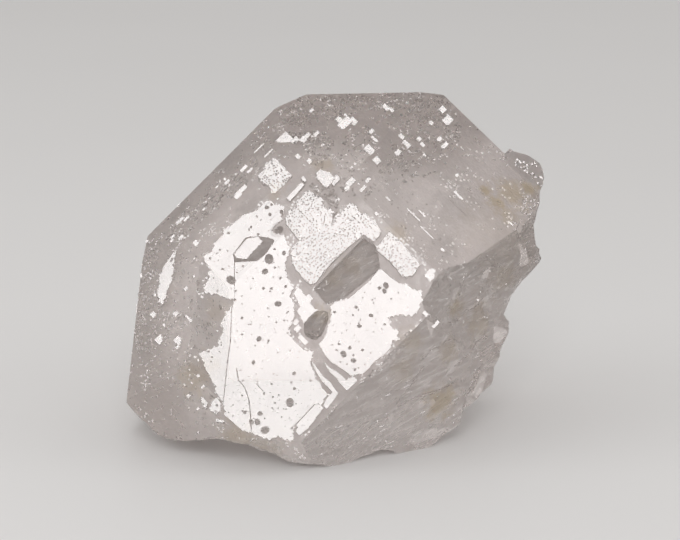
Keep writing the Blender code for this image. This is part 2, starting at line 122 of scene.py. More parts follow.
# The growth layers of the cube face and the flat remains beside it: level and tread in millimetres.
LAYERS = {
    "left plate": Layer(0.0, 0.34, 3, (
        (267, 200), (273, 203), (275, 205), (281, 206), (285, 207), (284, 212), (283, 219), (277, 223),
        (273.5, 227), (273, 232), (276, 235), (281, 235.5), (284, 233.5), (286, 238), (288, 245),
        (290.5, 248), (289, 255), (286, 261), (286, 268), (288, 276), (290, 282), (294, 288), (291, 294),
        (295, 306), (295, 316), (292, 323), (290.5, 332), (292.5, 339), (298, 344.5), (304, 350),
        (308, 351.5), (314, 351.5), (313, 357), (310.5, 362.5), (313, 368), (316.5, 376.5), (322, 386.5),
        (327.5, 394), (323.5, 402), (314, 404), (309.5, 409), (295.5, 424), (294, 429), (294, 440),
        (287.5, 439), (281.5, 437), (278, 435.5), (273.5, 437.5), (266, 437.5), (260, 436), (252, 432),
        (245, 430.5), (238, 426.5), (229.5, 419), (224, 414.5), (223, 404.5), (220, 398.5), (215.5, 392),
        (212.5, 382), (207, 373), (203.5, 365.5), (202, 360), (198.5, 354), (205.5, 351.5), (217, 347),
        (218, 340), (221.5, 334.5), (223, 329), (220.5, 323), (225, 315), (230, 308.5), (233.5, 303),
        (234.5, 298), (228, 298), (221.5, 295.5), (215.5, 293), (204, 291.5), (203, 288), (207, 281),
        (209, 277), (207.5, 273), (211, 270), (207, 266), (204, 260), (203, 257), (211, 252.5), (213, 244),
        (218, 240), (221.5, 236), (223, 230), (229.5, 226.5), (236.5, 220.5), (243.5, 215.5), (252, 212.5),
        (257, 210.5), (261.5, 205.5))),
    "middle plate": Layer(0.9, 0.30, 5, (
        (308.5, 190), (305, 191.5), (302.5, 196.5), (297.5, 200), (297, 206), (290.5, 208.5),
        (287.5, 214.5), (285.5, 220), (288, 226), (294, 233), (299.5, 240), (294.5, 245), (292.5, 250),
        (292, 257), (294, 265), (301, 275), (305, 280), (310.8, 284.7), (315, 283), (330, 264), (345, 250),
        (363.5, 234.5), (373.5, 241.5), (381, 232), (375, 221.5), (364.5, 212.5), (358, 211), (354.5, 204),
        (350, 203), (344.5, 209), (340, 212), (335.5, 215.5), (331.5, 226), (332.5, 215), (330.5, 207),
        (324, 207), (322, 203.5), (324, 200.5), (318, 195))),
    "right plate": Layer(-0.1, 0.34, 7, (
        (379, 269), (384, 271.5), (391.5, 278.5), (399, 283.5), (408.5, 285.5), (413, 289.5), (417, 291),
        (422.5, 291), (423.5, 299.5), (421, 306.5), (417, 313), (408.5, 314), (400, 314), (391.5, 315.5),
        (388, 317), (391.5, 322), (393, 329), (399, 331.5), (400, 339), (393, 340), (391.5, 346.5),
        (386, 353), (376, 360), (370.5, 367), (363.5, 373), (356.5, 374), (351, 375), (338.5, 366),
        (330.5, 361), (323.5, 353), (318.5, 344.5), (325, 336), (327.5, 326), (330.5, 316.5), (330, 306.5),
        (333.5, 303.5), (338.5, 301.5), (348, 299.5), (358, 291), (368, 282.5))),
    "corner strip": Layer(-0.14, 0.3, 9, (
        (330, 368), (340, 374), (346, 380), (355, 377), (357.5, 380.5), (347, 390.5), (338, 381))),
    "long strip": Layer(-0.06, 0, 11, (
        (311.5, 361), (316.5, 367), (322, 375), (330.5, 382.5), (338, 393.5), (333.5, 400.5), (326.5, 409),
        (323.5, 405.5), (327, 398), (332.5, 392), (322, 381), (316.5, 372.5))),
    "thin strip": Layer(-0.12, 0, 12, ((324, 362), (328, 366), (341, 379), (339.5, 380.5), (330, 372))),
    "end strip": Layer(-0.03, 0.3, 13, (
        (314.5, 405), (322, 405), (323.5, 408), (309.5, 427), (299, 435), (295.6, 431.5), (295.8, 425))),
    "bridge plate": Layer(-0.2, 0.3, 15, (
        (297, 288.3), (302.5, 291), (305, 295.5), (313.5, 298), (311, 301.5), (314.5, 309), (318.5, 311),
        (313, 316.5), (304, 324), (300, 318), (296.6, 311), (300, 307), (295.6, 298), (293, 294))),
    "top plate": Layer(-0.25, 0.4, 17, (
        (273.5, 157.5), (277, 160), (292, 175.5), (284, 185), (275, 193), (270, 191), (268.5, 185),
        (264, 182.5), (260, 180.5), (257.5, 176), (263, 169), (264, 165), (268, 163))),
    "upper strip": Layer(0.4, 0, 19, ((301.5, 182), (304.5, 185), (290, 201), (286.3, 198))),
    "upper chip": Layer(0.41, 0, 19, ((303, 176), (306.6, 180), (304.5, 182), (300.7, 179))),
    "round plate": Layer(0.61, 0.25, 21, (
        (315.7, 173.3), (318, 171), (322, 170.5), (330.5, 173.3), (334.7, 178.2), (332, 182), (327.7, 187.3),
        (322, 184), (316.4, 177.5))),
    "round plate rim": Layer(0.35, 0.2, 22, ((336, 174), (340.5, 178.5), (334, 186), (331.5, 183.8))),
    "right plate block": Layer(0.6, 0.4, 23, (
        (389.5, 231), (403, 243.5), (420.5, 264), (417, 270), (412.8, 275), (404, 275.5), (400, 274),
        (394.5, 266.5), (389, 260), (375.5, 248.4))),
    "right chip": Layer(-0.4, 0.25, 25, (
        (424, 275), (430.3, 268.7), (436, 270), (435, 276.5), (430.3, 281.8))),
    "left sliver": Layer(-4.1, 0.25, 27, (
        (176.5, 249.5), (174.5, 262.4), (174, 270), (172.6, 280), (168.5, 288), (166.3, 296.7),
        (163.5, 303.5), (158, 301.5), (156.5, 292.5), (159.3, 282.5), (158, 274), (159.5, 274.2),
        (163.5, 266.5), (168.5, 258))),
    "lower left chip": Layer(-0.45, 0.25, 29, (
        (200.5, 397), (204, 398.5), (208, 403), (206.5, 408.5), (203, 406), (201, 401.5))),
    "lower left flat": Layer(-0.5, 0.3, 31, (
        (211, 402), (218, 399.5), (221.5, 404), (221, 411), (213, 411.5), (209, 409))),
    "lower left tile": Layer(-0.4, 0, 33, ((216, 418.5), (223.5, 420.5), (224.5, 422.5), (216, 421.5))),
}

# A raised brick on the left plate: the outlines of its top and of its sloping foot.
BRICK_TOP = ((247, 238.5), (258.2, 237), (262.4, 241.4), (246.3, 258.9), (236.5, 258), (233.9, 254))
BRICK_FOOT = ((245.5, 237.5), (258, 236.2), (268.7, 237.5), (274.3, 240), (272.9, 244.2), (265.9, 254),
              (257.5, 261), (234.4, 262.4), (232.8, 254))
BRICK_RISE, BRICK_SINK = 0.5, -0.004  # the levels of its top and of its foot, in millimetres

# The plates that dark grains make dull.
SPECKLED = ("middle plate", "top plate", "right plate block")

# Cube corners on the bevels: x, y, their size along the rising and the falling cube edge, and how far their
# top stands out, all in pixels.
TILES = tuple(Tile(*row) for row in (
    (345, 124, 14, 8, 5), (353, 122, 6, 8, 4.5), (340, 121.5, 5, 9, 4.6), (386, 108, 4, 8, 3),
    (391.5, 110.5, 3, 5, 3), (371.5, 132, 5, 4, 3), (374.5, 139.5, 2.5, 9, 2.5), (401.5, 137, 4, 6, 3),
    (406.5, 144.5, 4, 9, 3), (419, 139.5, 4, 4, 3), (422.5, 145, 3, 5, 3), (439.5, 139.5, 5, 4, 3),
    (442.5, 110, 6, 6, 3), (447.5, 121, 9, 8, 4), (444.5, 146, 8, 4, 3), (369.3, 150.5, 7, 10, 4),
    (376.8, 161, 6, 7, 3.5), (398, 153, 6, 5, 3), (350.5, 183, 10, 5.5, 4), (347, 189, 5, 4, 3),
    (368, 180.5, 6, 3, 3), (363, 189, 8, 3, 3), (388, 199, 1.6, 6, 1.5), (376.5, 214, 3, 4, 2),
    (413.8, 215.4, 1.1, 19, 1.4), (422, 213.6, 1.3, 9, 1.4), (427.2, 233, 1.0, 19, 1.3),
    (458.4, 195.8, 2, 12, 2), (457, 175.5, 3, 3, 2), (442.5, 250, 2.5, 4.5, 2), (510.7, 223.5, 1.6, 7, 1.6),
    (531.5, 173.5, 3, 6, 2.5), (241, 191.5, 15, 4, 3.5), (238, 196, 8, 4.5, 3.4), (243.8, 169, 9, 3, 3),
    (250, 171, 7, 2.4, 2.6), (227, 182.5, 6, 2.6, 2.5), (180, 221, 10, 3, 2.5), (186.5, 219, 7, 2, 2),
    (181, 238, 6, 3, 2.5), (172.5, 237, 5, 2.5, 2), (259, 148.5, 13, 1.2, 1.6), (268.5, 153.5, 12, 1.6, 1.8),
    (306.5, 137, 9, 4, 3), (303, 140.5, 6, 6, 3), (295, 141, 8, 5, 3), (281, 139.5, 7, 4, 2.6),
    (316.5, 134, 6, 3.4, 2.4), (298, 157, 4, 5, 2.6), (309.3, 161.5, 4, 5, 2.6), (198, 409, 3, 2, 1.6),
    (188.5, 396, 3.6, 3, 2), (198, 376, 3, 3, 2), (203, 387, 4, 2.4, 2), (196, 243.5, 5, 5, 3),
    (178, 347, 4, 3, 2), (178.6, 341, 7, 8, 3), (160, 339.5, 9, 7, 3), (176, 314, 5, 4, 2.6),
    (153.5, 315, 5, 5, 2.6), (190, 320, 2.4, 13, 2), (186, 289, 4, 3, 2), (434.5, 326, 5, 3, 2.4),
    (437, 323, 5, 3, 2.4), (425.5, 314, 4, 6, 2.4), (296, 322.5, 6, 4, 2), (297.5, 328.7, 7, 5, 2),
    (303, 340, 4.5, 11, 2),
))

# Where smaller ones are scattered: their number, size in pixels from the smallest to the largest, how much
# longer they are along the rising edge, how far they lean in degrees, how far they stand out for their size,
# the seed of their places and the outline that holds them.
ZONES = {
    "arc": Zone(150, 0.8, 4.2, 1.1, 2.0, 0.42, 41, (
        (255, 155), (262, 143), (274, 135), (300, 130), (324, 133), (334, 141), (327, 160), (312, 168),
        (306, 150), (292, 143), (276, 143), (264, 158))),
    "upper left band": Zone(230, 0.8, 4.2, 2.1, 1.5, 0.40, 43, (
        (255, 158), (262, 166), (250, 182), (232, 198), (214, 212), (196, 226), (186, 240), (172, 246),
        (166, 240), (178, 222), (200, 200), (222, 180), (240, 164))),
    "upper left scatter": Zone(90, 0.7, 2.4, 1.6, 1.5, 0.36, 44, (
        (160, 236), (200, 192), (250, 140), (290, 110), (300, 128), (262, 140), (225, 178), (190, 222),
        (178, 250), (200, 245), (208, 262), (195, 275), (180, 262), (160, 262))),
    "top rim": Zone(330, 1.0, 4.4, 1.0, 4.5, 0.38, 45, (
        (283, 112), (298, 99), (330, 96), (388, 95), (420, 97), (446, 96), (452, 118), (438, 128), (402, 108),
        (360, 112), (345, 116), (318, 124), (285, 128))),
    "top right": Zone(210, 0.9, 4.2, 0.9, 3.0, 0.40, 47, (
        (384, 112), (430, 100), (462, 122), (458, 150), (437, 172), (410, 182), (384, 182), (374, 166),
        (392, 146))),
    "ring": Zone(90, 0.7, 2.6, 1.2, 2.0, 0.40, 49, (
        (378, 172), (386, 160), (396, 156), (404, 158), (410, 168), (403, 178), (399, 170), (393, 163),
        (386, 170), (384, 176))),
    "middle top": Zone(150, 0.8, 3.0, 1.0, 2.0, 0.40, 51, (
        (318, 140), (345, 134), (370, 128), (376, 150), (362, 168), (380, 190), (372, 204), (358, 198),
        (346, 196), (338, 184), (320, 166))),
    "stair": Zone(70, 0.8, 3.4, 0.8, 1.5, 0.40, 53, (
        (309, 182), (322, 186), (334, 190), (342, 200), (334, 210), (325, 200), (312, 190))),
    "left rim": Zone(280, 0.9, 4.0, 0.9, 4.0, 0.40, 55, (
        (146, 248), (160, 242), (158, 262), (156, 290), (160, 305), (172, 318), (170, 345), (150, 352),
        (136, 350), (138, 310), (141, 280))),
    "left field": Zone(150, 0.8, 3.4, 0.9, 3.5, 0.38, 57, (
        (176, 268), (192, 262), (204, 296), (222, 300), (220, 318), (222, 340), (198, 350), (172, 352),
        (168, 330), (176, 310), (170, 296))),
    "lower left": Zone(170, 0.7, 2.8, 0.7, 3.0, 0.36, 59, (
        (134, 352), (200, 352), (204, 372), (214, 396), (222, 420), (205, 428), (180, 400), (150, 384),
        (132, 370))),
    "lower left corner": Zone(60, 0.6, 2.0, 0.7, 3.0, 0.34, 61, (
        (130, 372), (160, 388), (210, 428), (240, 440), (200, 438), (150, 434), (130, 400))),
    "right field": Zone(120, 0.6, 2.0, 0.8, 2.0, 0.38, 63, (
        (386, 196), (414, 190), (440, 212), (470, 262), (440, 270), (420, 256), (396, 222))),
    "right sparkle": Zone(150, 0.7, 2.6, 1.0, 3.0, 0.40, 65, (
        (474, 272), (484, 263), (504, 270), (502, 285), (494, 296), (484, 304), (476, 300), (480, 288))),
    "right edge": Zone(80, 0.7, 2.4, 0.9, 3.0, 0.38, 67, (
        (436, 272), (462, 262), (468, 290), (458, 300), (446, 320), (428, 330), (420, 322), (426, 300))),
    "plate fringe": Zone(70, 0.7, 2.4, 1.2, 1.5, 0.40, 69, (
        (364, 376), (380, 362), (394, 348), (408, 330), (412, 334), (400, 352), (386, 366), (368, 380))),
    "lower rim": Zone(60, 0.6, 1.8, 1.0, 3.0, 0.36, 71, (
        (300, 444), (330, 440), (372, 410), (380, 420), (345, 452), (310, 460))),
}

# How the cube corners of a zone spread: towards small sizes, in stretch, in shape and in how far they stand
# out.
SIZE_SKEW = 1.5
STRETCH_SPREAD, SHAPE_SPREAD, STEP_SPREAD = (0.0, 1.6), (0.7, 1.4), (0.5, 1.1)

# Growth pits of the plates: where, and how wide in pixels. A pit's rim is a share of its width, and its floor
# of its rim.
PITS = tuple(Pit(*row) for row in (
    (231, 280, 8.5), (269, 259, 9), (279, 230, 8), (265, 271.5, 5.6), (284, 253, 4), (278, 304, 6),
    (259, 339, 5), (290, 402.5, 8), (265, 430, 7.5), (260, 413.5, 4.5), (245, 412, 3.6), (253.5, 362.5, 3.8),
    (294, 373.5, 3.6), (294.5, 388.5, 3), (242, 318, 3), (251.5, 422, 4.5), (257.5, 422, 6),
    (271.5, 384, 2.4), (267, 207.5, 3.8), (271.5, 204.5, 2.4), (270, 214.5, 3.4), (281.5, 212, 4),
    (228.5, 233, 2.8), (251, 227, 2.6), (249, 229.5, 2.4), (258, 234.5, 2.6), (274.5, 249, 2.6),
    (275, 267.5, 2.4), (280.5, 278, 3), (220, 249.5, 2.2), (216.5, 253.5, 1.6), (210, 258.5, 2.2),
    (243, 266.5, 2.4), (222.5, 269, 2.6), (229, 266, 1.6), (235.5, 291, 2.4), (263.5, 288.5, 2.8),
    (271.5, 288.5, 3), (270, 291.5, 1.8), (285.5, 286.5, 3), (242, 296, 2), (251, 288.5, 1.6),
    (254, 310.5, 1.4), (268, 308.5, 2), (276.5, 322, 2.2), (284, 320.5, 2.2), (242, 334.5, 2.4),
    (268.5, 341, 2.6), (287.5, 333, 1.8), (290, 350.5, 1.8), (256, 374, 1.6), (222, 380.5, 1.4),
    (243, 380.5, 2), (242, 395.5, 2), (264, 393.5, 2.8), (273, 397, 2), (278.5, 395, 1.8), (275, 403, 2.4),
    (272.5, 408.5, 2.4), (278, 408, 1.6), (233, 405, 1.6), (292, 428, 2.6), (310.5, 380.5, 2.4),
    (291, 382.5, 2.2), (242, 411, 2.4), (233, 416, 1.8), (296, 404, 1.6), (289.5, 418, 1.8),
    (281.5, 417, 1.6), (253, 278.5, 1.6), (213.5, 278, 1.4), (217.5, 290.5, 2.4), (235.5, 253, 1.3),
    (261, 220, 1.6), (257, 216.5, 2.2), (208.5, 351.5, 2.6), (212, 357, 2.2), (211, 361.5, 1.6),
    (242, 304, 1.5), (256.5, 268, 1.4), (386, 285.5, 5.6), (379.5, 288, 3.4), (384.5, 291, 4.6),
    (371, 315.5, 3.8), (359.5, 326, 4.2), (356.5, 307.5, 3), (358.5, 310, 1.8), (353, 315, 2.2),
    (391, 299, 2), (364.5, 292.5, 1.4), (372.5, 299.5, 1.8), (343.5, 354, 6), (353.5, 360.5, 4.6),
    (350, 347.5, 3.4), (362.5, 350, 3), (339, 344, 2.8), (336.5, 350, 2.2), (355, 369.5, 3), (358.5, 368, 2),
    (370.5, 353, 1.4), (334.5, 312, 3), (354, 335.5, 1.4), (346.5, 330, 1.6), (384.5, 324.5, 2.6),
    (365, 364, 1.6), (375.5, 323, 1.6), (335.5, 331.5, 1.3), (346, 324, 1.4), (353.5, 355, 2.4),
    (347, 364, 1.8),
))
PIT_RIM, PIT_FLOOR = 0.56, 0.06
PIT_OVAL = (1.12, 0.92, 1.0, 1.0)
PIT_SIDES, SMALL_PIT_SIDES = 8, 5
SMALL_PIT = 3  # up to this width, in pixels, a pit has the fewer sides
FINE_PITS, FINE_PIT_SEED = 150, 83  # the smallest ones, scattered over the two large plates
FINE_PIT_WIDTH = (0.7, 1.7)
PLATE_FIELD = ((203, 424), (200, 440))

# Low square layers on the sides and the back, in metres of the face frame: how many, the smallest, how many
# times larger the largest is, the middle that they are aimed at, how far the aim strays, and the lowest and
# the foremost that they stand.
SIDE_LAYERS, SIDE_SEED = 420, 97
SIDE_LAYER_SIZE, SIDE_LAYER_SPREAD = 0.5 * MM, 7
SIDE_MIDDLE, SIDE_SCATTER = Vector((0, 0, -0.018)), 0.016
SIDE_LOWEST, SIDE_FOREMOST = 5 * MM, -5 * MM
SIDE_TILTS, SIDE_LEAST_UP = (82, 170), -0.7  # where they are looked for from, and how far down they may face
SIDE_SKEW, SIDE_SHAPE = 1.8, (0.35, 1.0)  # how they spread towards small sizes, and in shape
SIDE_RISE, SIDE_RISE_MOST = 0.03, 0.05  # how far they stand out, at least and at most, in millimetres

# Grooves where the plates and the broken side are cracked: width, depth and path, in pixels.
CRACKS = (
    Crack(0.8, 1.6, (
        (234.5, 262), (234.6, 299), (231.5, 309), (230.5, 340), (227.5, 362), (223.5, 400), (223, 414))),
    Crack(1.0, 1.8, ((236.5, 368), (238.5, 380), (245, 388), (249, 400), (250.5, 415), (251.5, 433))),
    Crack(0.6, 1.0, ((256.5, 378), (258.5, 386), (263, 391))),
    Crack(1.0, 1.6, ((331.5, 226), (333, 217), (337, 212))),
    Crack(2.0, 3.0, ((398, 406), (406, 401), (415, 397), (425, 393), (436, 390), (446, 386), (453, 382))),
    Crack(1.6, 2.2, ((396, 404), (401, 396), (408, 389), (413, 381), (419, 372), (423, 365))),
    Crack(1.4, 2.0, ((369, 428), (378, 420), (386, 417), (394, 411))),
    Crack(2.0, 2.6, ((475, 267), (480, 262), (487, 260), (494, 262), (499, 266))),
    Crack(1.5, 2.2, ((455, 366), (463, 358), (470, 352), (476, 342), (484, 336))),
    Crack(1.2, 1.8, ((424, 358), (431, 350), (440, 345), (449, 338))),
    Crack(1.2, 1.8, ((448, 322), (458, 318), (468, 310), (476, 306), (482, 298))),
    Crack(1.6, 2.2, ((463, 408), (466, 396), (472, 386), (474, 374), (480, 366))),
    Crack(1.2, 1.8, ((350, 436), (360, 426), (368, 420))),
)

# The hole beside the bridge plate: its rim in pixels, then its depth, the levels of its rings and their
# shares of the rim, how uneven they are, and where the foot lies from the middle. Before the hole is sunk, a
# square of the face frame is filled up round it: across, up and half its diagonal.
HOLE = (
    (304, 324), (309, 318), (315.5, 312), (322, 310.5), (327.5, 312), (328.5, 318), (327, 323.5), (324, 331),
    (321, 336), (316.5, 340), (311, 339.5), (307, 337), (303.5, 331.5))
HOLE_DEPTH = 1.9  # in millimetres
HOLE_RINGS = (
    (2.0 * MM, 1.12), (GROUND, 1.0), (GROUND - 0.6 * MM, 0.86), (GROUND - 1.3 * MM, 0.62),
    (GROUND - HOLE_DEPTH * MM, 0.3))
HOLE_UNEVEN = 0.16
HOLE_FOOT = (0.2 * MM, -0.3 * MM, GROUND - 1.15 * HOLE_DEPTH * MM)
HOLE_FILL = (-2.7 * MM, -6.2 * MM, 2.3 * MM)
HOLE_FILL_TOP, HOLE_FILL_BOTTOM = GROUND - 5e-6, GROUND - 2.5 * MM

# Flat cleavage chips in the broken side: where, how wide and tall in pixels, how far they are turned and
# tilted in degrees, and how deep their middle is sunk in pixels. Then the corners of a chip, how unevenly
# they stand round it, how far they reach for its size, and the flare and height of what is cut away over it.
CHIPS = tuple(Chip(*row) for row in (
    (524, 258, 26, 50, 20, 11, 1.5), (500, 333, 24, 36, -25, 13, 1.5), (480, 387, 34, 40, 30, 11, 2.0),
    (487, 272, 24, 18, 35, 16, 1.5), (427, 437, 44, 22, 8, 12, 2.0),
))
CHIP_CORNERS, CHIP_UNEVEN, CHIP_REACH = 9, 0.3, (0.3, 0.56)
CHIP_FLARE, CHIP_HEIGHT = 2.2, 4 * MM

# The corner that has broken off the shoulder, in pixels at one level, and from which level to which it goes.
LOST_CORNER = ((490, 138), (513, 153.8), (527, 157.5), (541, 161), (556, 168), (562, 138))
CORNER_LEVEL, CORNER_TOP, CORNER_BOTTOM = -16 * MM, -6 * MM, -34 * MM

# The rim of the broken side low on the right, in pixels. What lies beyond it, as seen from the middle and out
# to this share of its distance, is cut away from level to level.
BROKEN_RIM = (
    (401, 464), (408.5, 457), (414, 455), (424, 450), (433.8, 444.6), (445, 433.4), (457, 425.7),
    (459.8, 420.8), (463.3, 411.7), (464.7, 408.2), (470.3, 405.4), (478, 398.4), (480.8, 393.4),
    (489.9, 385.7), (492.7, 379.4), (493.4, 366.8), (498.3, 359.8), (501.9, 345.7), (508.9, 331.7),
    (509, 321.2), (504, 313.5), (507, 303), (512, 293),
)
RIM_MIDDLE, RIM_SHARE = Vector((340, 290)), 1.4
RIM_TOP, RIM_BOTTOM = 3 * MM, -44 * MM

# Brown stains: where, how far they reach in pixels and how strong they are.
STAINS = tuple(Spot(*row) for row in (
    (497, 204, 20, 1.0), (486, 190, 14, 1.0), (531, 189, 15, 1.0), (512, 193, 26, 0.85), (505, 214, 20, 0.7),
    (500, 235, 75, 0.18), (240, 440, 34, 0.6), (194, 378, 28, 0.55), (205, 365, 20, 0.5), (455, 306, 18, 0.7),
    (412, 343, 22, 0.45), (402, 370, 20, 0.4), (441, 402, 30, 0.85), (450, 352, 20, 0.5), (480, 322, 28, 0.5),
    (325, 165, 18, 0.55), (398, 232, 18, 0.55), (350, 266, 22, 0.38), (332, 278, 16, 0.4),
    (275, 192, 14, 0.5), (218, 311, 18, 0.35), (322, 312, 16, 0.6), (262, 445, 34, 0.45), (503, 275, 30, 0.4),
))

# Painted shade: grey patches that darken the upper bevels, in the same way.
UPPER_PAINTED_SHADE = tuple(Spot(*row) for row in (
    (228, 158, 46, 0.9), (300, 135, 44, 0.5), (385, 140, 44, 0.5), (455, 205, 42, 0.9), (445, 245, 22, 0.8),
    (250, 205, 24, 0.9), (175, 210, 30, 0.6), (395, 190, 24, 0.8),
))

# The flat faces of the grown crystal: the way each looks across the face frame, its tilt from the cube face,
# how far from the axis it passes at its level, and that level, in degrees and millimetres.
FACETS = tuple(Facet(*row) for row in (
    (45, 35, 9.5, 0), (136, 50, 14.0, 0), (225, 45, 20.8, 0), (315, 45, 11.0, 0), (91.5, 40, 12.5, 0),
    (174, 45, 17.2, 0), (268, 50, 20.5, 0), (0, 42, 13.5, 0), (45, 90, 31.1, 0), (136, 90, 24.2, 0),
    (225, 90, 30.0, 0), (315, 90, 26.0, 0), (91, 90, 28.7, 0), (120, 90, 26.8, 0), (174.5, 90, 26.2, 0),
    (45, 142, 19, -36), (135, 140, 13, -36), (225, 132, 17, -36), (315, 135, 15, -36), (90, 128, 16, -36),
    (180, 130, 15, -36), (270, 130, 15, -36), (0, 180, 0, -36),
))
WORN_FACES = ((315, 45), (0, 42))  # flat faces that have gone over into the broken side
WORN_WAY, WORN_AREA = 0.99999, 2e-6  # how near to one of them a face looks, and its least area
RESTING_WAY = -0.999  # the face that the crystal rests on looks further down than this
SHAVE = 0.02 * MM  # how far the flat faces are trimmed, so that they are clean
SHOULDER = (26.2, 15.5, 10.3, 11.3, -14.4)  # the right shoulder's block: across, up, its sides and its top
SHOULDER_DEPTH = 20 * MM
BLANK_SIZE = 90 * MM  # the cube that the flat faces are cut from
CUBE_FACES = ((0, 0), (45, 90), (135, 90))  # the ways that the faces of the small cubes look
FLAT_WITHIN = math.radians(0.8)  # how far a face may lean and still belong to a flat face

# The broken side: the spacing and turn of the planes that refine it, how many edges in from its border the
# ripples are full, the way and the waves of the ripples, per metre, and their shares of the height.
GRID_SPACING, GRID_TURN = 0.8 * MM, 20
BORDER_EDGES = 5
RIPPLE_TURN = Matrix.Rotation(math.radians(-38), 2)
BEND_WAVES, SWELL_WAVES = 160, 260
CREST_WAVES, SMALL_WAVES = (130, 520, 150), (420, 1300, 500)
BEND, CREST_SHARE, SMALL_SHARE, SWELL_SHARE = 1.6, 0.8, 0.35, 0.9

# Which faces take a polish: how far they may lean from the cube face, and the lowest level.
POLISHED_WITHIN, POLISHED_LOWEST = math.radians(9), -14 * MM
SPARKLING_LEAST = 0.5  # how far up the other faces have to look to sparkle

# The places of a mix node's two inputs and of its output.
MIX_SOCKETS = {"FLOAT": (2, 3, 0), "VECTOR": (4, 5, 1), "RGBA": (6, 7, 2)}

# Soft patches: how many to a metre, how detailed, and the values of their field that become 0 and 1.
MOTTLES = {
    "strings": (1700.0, 5.0, 0.4, 0.66),
    "sparks": (420.0, 2.0, 0.42, 0.66),
    "glints": (300.0, 2.0, 0.4, 0.6),
    "patches": (160.0, 4.0, 0.36, 0.66),
    "clouds": (1300.0, 3.0, 0.35, 0.7),
    "frost": (900.0, 3.0, 0.3, 0.7),
    "floor": (6.0, 2.0, 0.3, 0.7),
}

# Shares of the body's colour, and how strongly some of them cover it.
# Of these, the share for the upper bevels is painted shade, and the broken side's cover lifts it to a paler
# tone that is partly painted light.
SHADES = {"patches": 0.84, "clouds": 0.8, "strings": 0.76, "upper_painted_shade": 0.66, "grains": 0.35}
CLOUD_COVER, BREAK_COVER, STRING_COVER = 0.5, 0.8, 0.6

# The finish. A scale is in cells or waves per metre, a half is half the width of a flat for its cell, and a
# least is how rare it is. Roughness runs from the first value to the second.
CLEARNESS = 0.95
COAT_IOR = 1.6
MIRROR = 0.03
FROST, BROKEN_FROST = (0.26, 0.54), (0.2, 0.5)
GRAIN_SCALE, GRAIN_HALF, GRAIN_SPREAD = 3400.0, 0.37, 0.3
SPARK_SCALE, SPARK_HALF, SPARK_LEAST = 2300.0, 0.3, 0.5
SLIVER_SCALE, GLINT_SCALE, GLINT_HALF, GLINT_LEAST = 2300.0, 1300.0, 0.14, 0.8
STRING_STRETCH = (0.16, 1.0, 0.5)
SPOT_SCALE, SPOT_UNEVEN, SPOT_FALL = 620.0, 2.2, (1.2, 2.1)
BUMPS, BUMP_MIX = ((2600.0, 4.0), (700.0, 3.0)), 0.4  # the scale and detail of the fine and the coarse ones
BUMP_HEIGHT, BUMP_STRENGTH = 0.12 * MM, 0.6
WORN_LEAST = 0.25  # from which value of its masks a face counts as broken
# The broken side's colour, paler than the body: partly its own less absorbing tone and partly painted light
# for its glassy brightness.
PALE_BREAK_AND_PAINTED_LIGHT = (1.0, 0.955, 0.94, 1.0)
CLEAR_INSIDE = (0.72, 0.68, 0.65, 1.0)

# The soft lights: rise and azimuth in degrees, distance and size in metres, and share of the power.
SOFTBOXES = {
    "key softbox": (34, 0, 0.62, 0.23, 0.96),
    "left softbox": (22, -78, 0.5, 0.3, 0.5),
    "right softbox": (26, 80, 0.5, 0.3, 0.22),
}
SKY_COLOUR, SKY_STRENGTH = (1.0, 0.985, 0.97, 1.0), 0.62
FLOOR_RADIUS, FLOOR_LEVEL = 3.0, -0.02 * MM
FLOOR_ROUGHNESS, FLOOR_SHADE = 0.55, 0.985


class FluoriteSettings(bpy.types.PropertyGroup):
    """The sizes and colours of the crystal and its stage"""

    step_share: bpy.props.FloatProperty(
        name="Tile height", description="Scales how far the small cube corners stand out", default=1.0,
        min=0.3, max=2.0)
    pit_depth: bpy.props.FloatProperty(
        name="Pit depth", description="Depth of a growth pit for its width", default=0.34, min=0.1, max=1.0)
    relief: bpy.props.FloatProperty(
        name="Broken relief", description="Height of the ripples on the broken side", default=0.0003,
        subtype="DISTANCE", unit="LENGTH")
    body_colour: bpy.props.FloatVectorProperty(
        name="Body", description="Colour of the frosted crystal", subtype="COLOR", size=4,
        default=(0.98, 0.905, 0.885, 1.0), min=0.0, max=1.0)
    stain_colour: bpy.props.FloatVectorProperty(
        name="Stain", description="Colour of the iron stain in its hollows", subtype="COLOR", size=4,
        default=(0.68, 0.55, 0.36, 1.0), min=0.0, max=1.0)
    floor_colour: bpy.props.FloatVectorProperty(
        name="Floor", description="Colour of the studio floor", subtype="COLOR", size=4,
        default=(0.80, 0.79, 0.785, 1.0), min=0.0, max=1.0)
    refraction: bpy.props.FloatProperty(
        name="Refractive index", description="Refractive index of fluorite", default=1.434, min=1.0, max=2.0)
    absorption: bpy.props.FloatProperty(
        name="Absorption", description="Density of the absorption inside the crystal", default=8.0,
        min=0.0, max=500.0)
    light_power: bpy.props.FloatProperty(
        name="Light", description="Power of the soft lights", default=1.0, min=0.0, max=100.0)


def polar(toward, tilt):
    """The unit normal of the face frame that looks this way and is tilted so far from Z."""
    toward, tilt = math.radians(toward), math.radians(tilt)
    return Vector((math.cos(toward) * math.sin(tilt), math.sin(toward) * math.sin(tilt), math.cos(tilt)))


def sight(x, y):
    """The direction in which the camera sees an image pixel."""
    across = (x - IMAGE_SIZE[0] / 2) / FOCAL
    over = (IMAGE_SIZE[1] / 2 - y) / FOCAL
    return (RIGHT * across + OVER * over - BACK).normalized()


def on_level(x, y, level):
    """The point of the face frame that stands at an image pixel on a plane parallel to the cube face."""
    start = TO_FACE @ CAMERA_AT
    way = TO_FACE.to_3x3() @ sight(x, y)
    return start + way * ((level - start.z) / way.z)


def seen(surface, x, y):
    """The point of the surface that the camera sees at an image pixel, and its normal there."""
    return surface.ray_cast(CAMERA_AT, sight(x, y))[:2]


def around(row):
    """The items of a closed row, each with the one after it."""
    return list(zip(row, row[1:] + row[:1]))


def deselect():
    """Deselects every object."""
    bpy.ops.object.select_all(action="DESELECT")


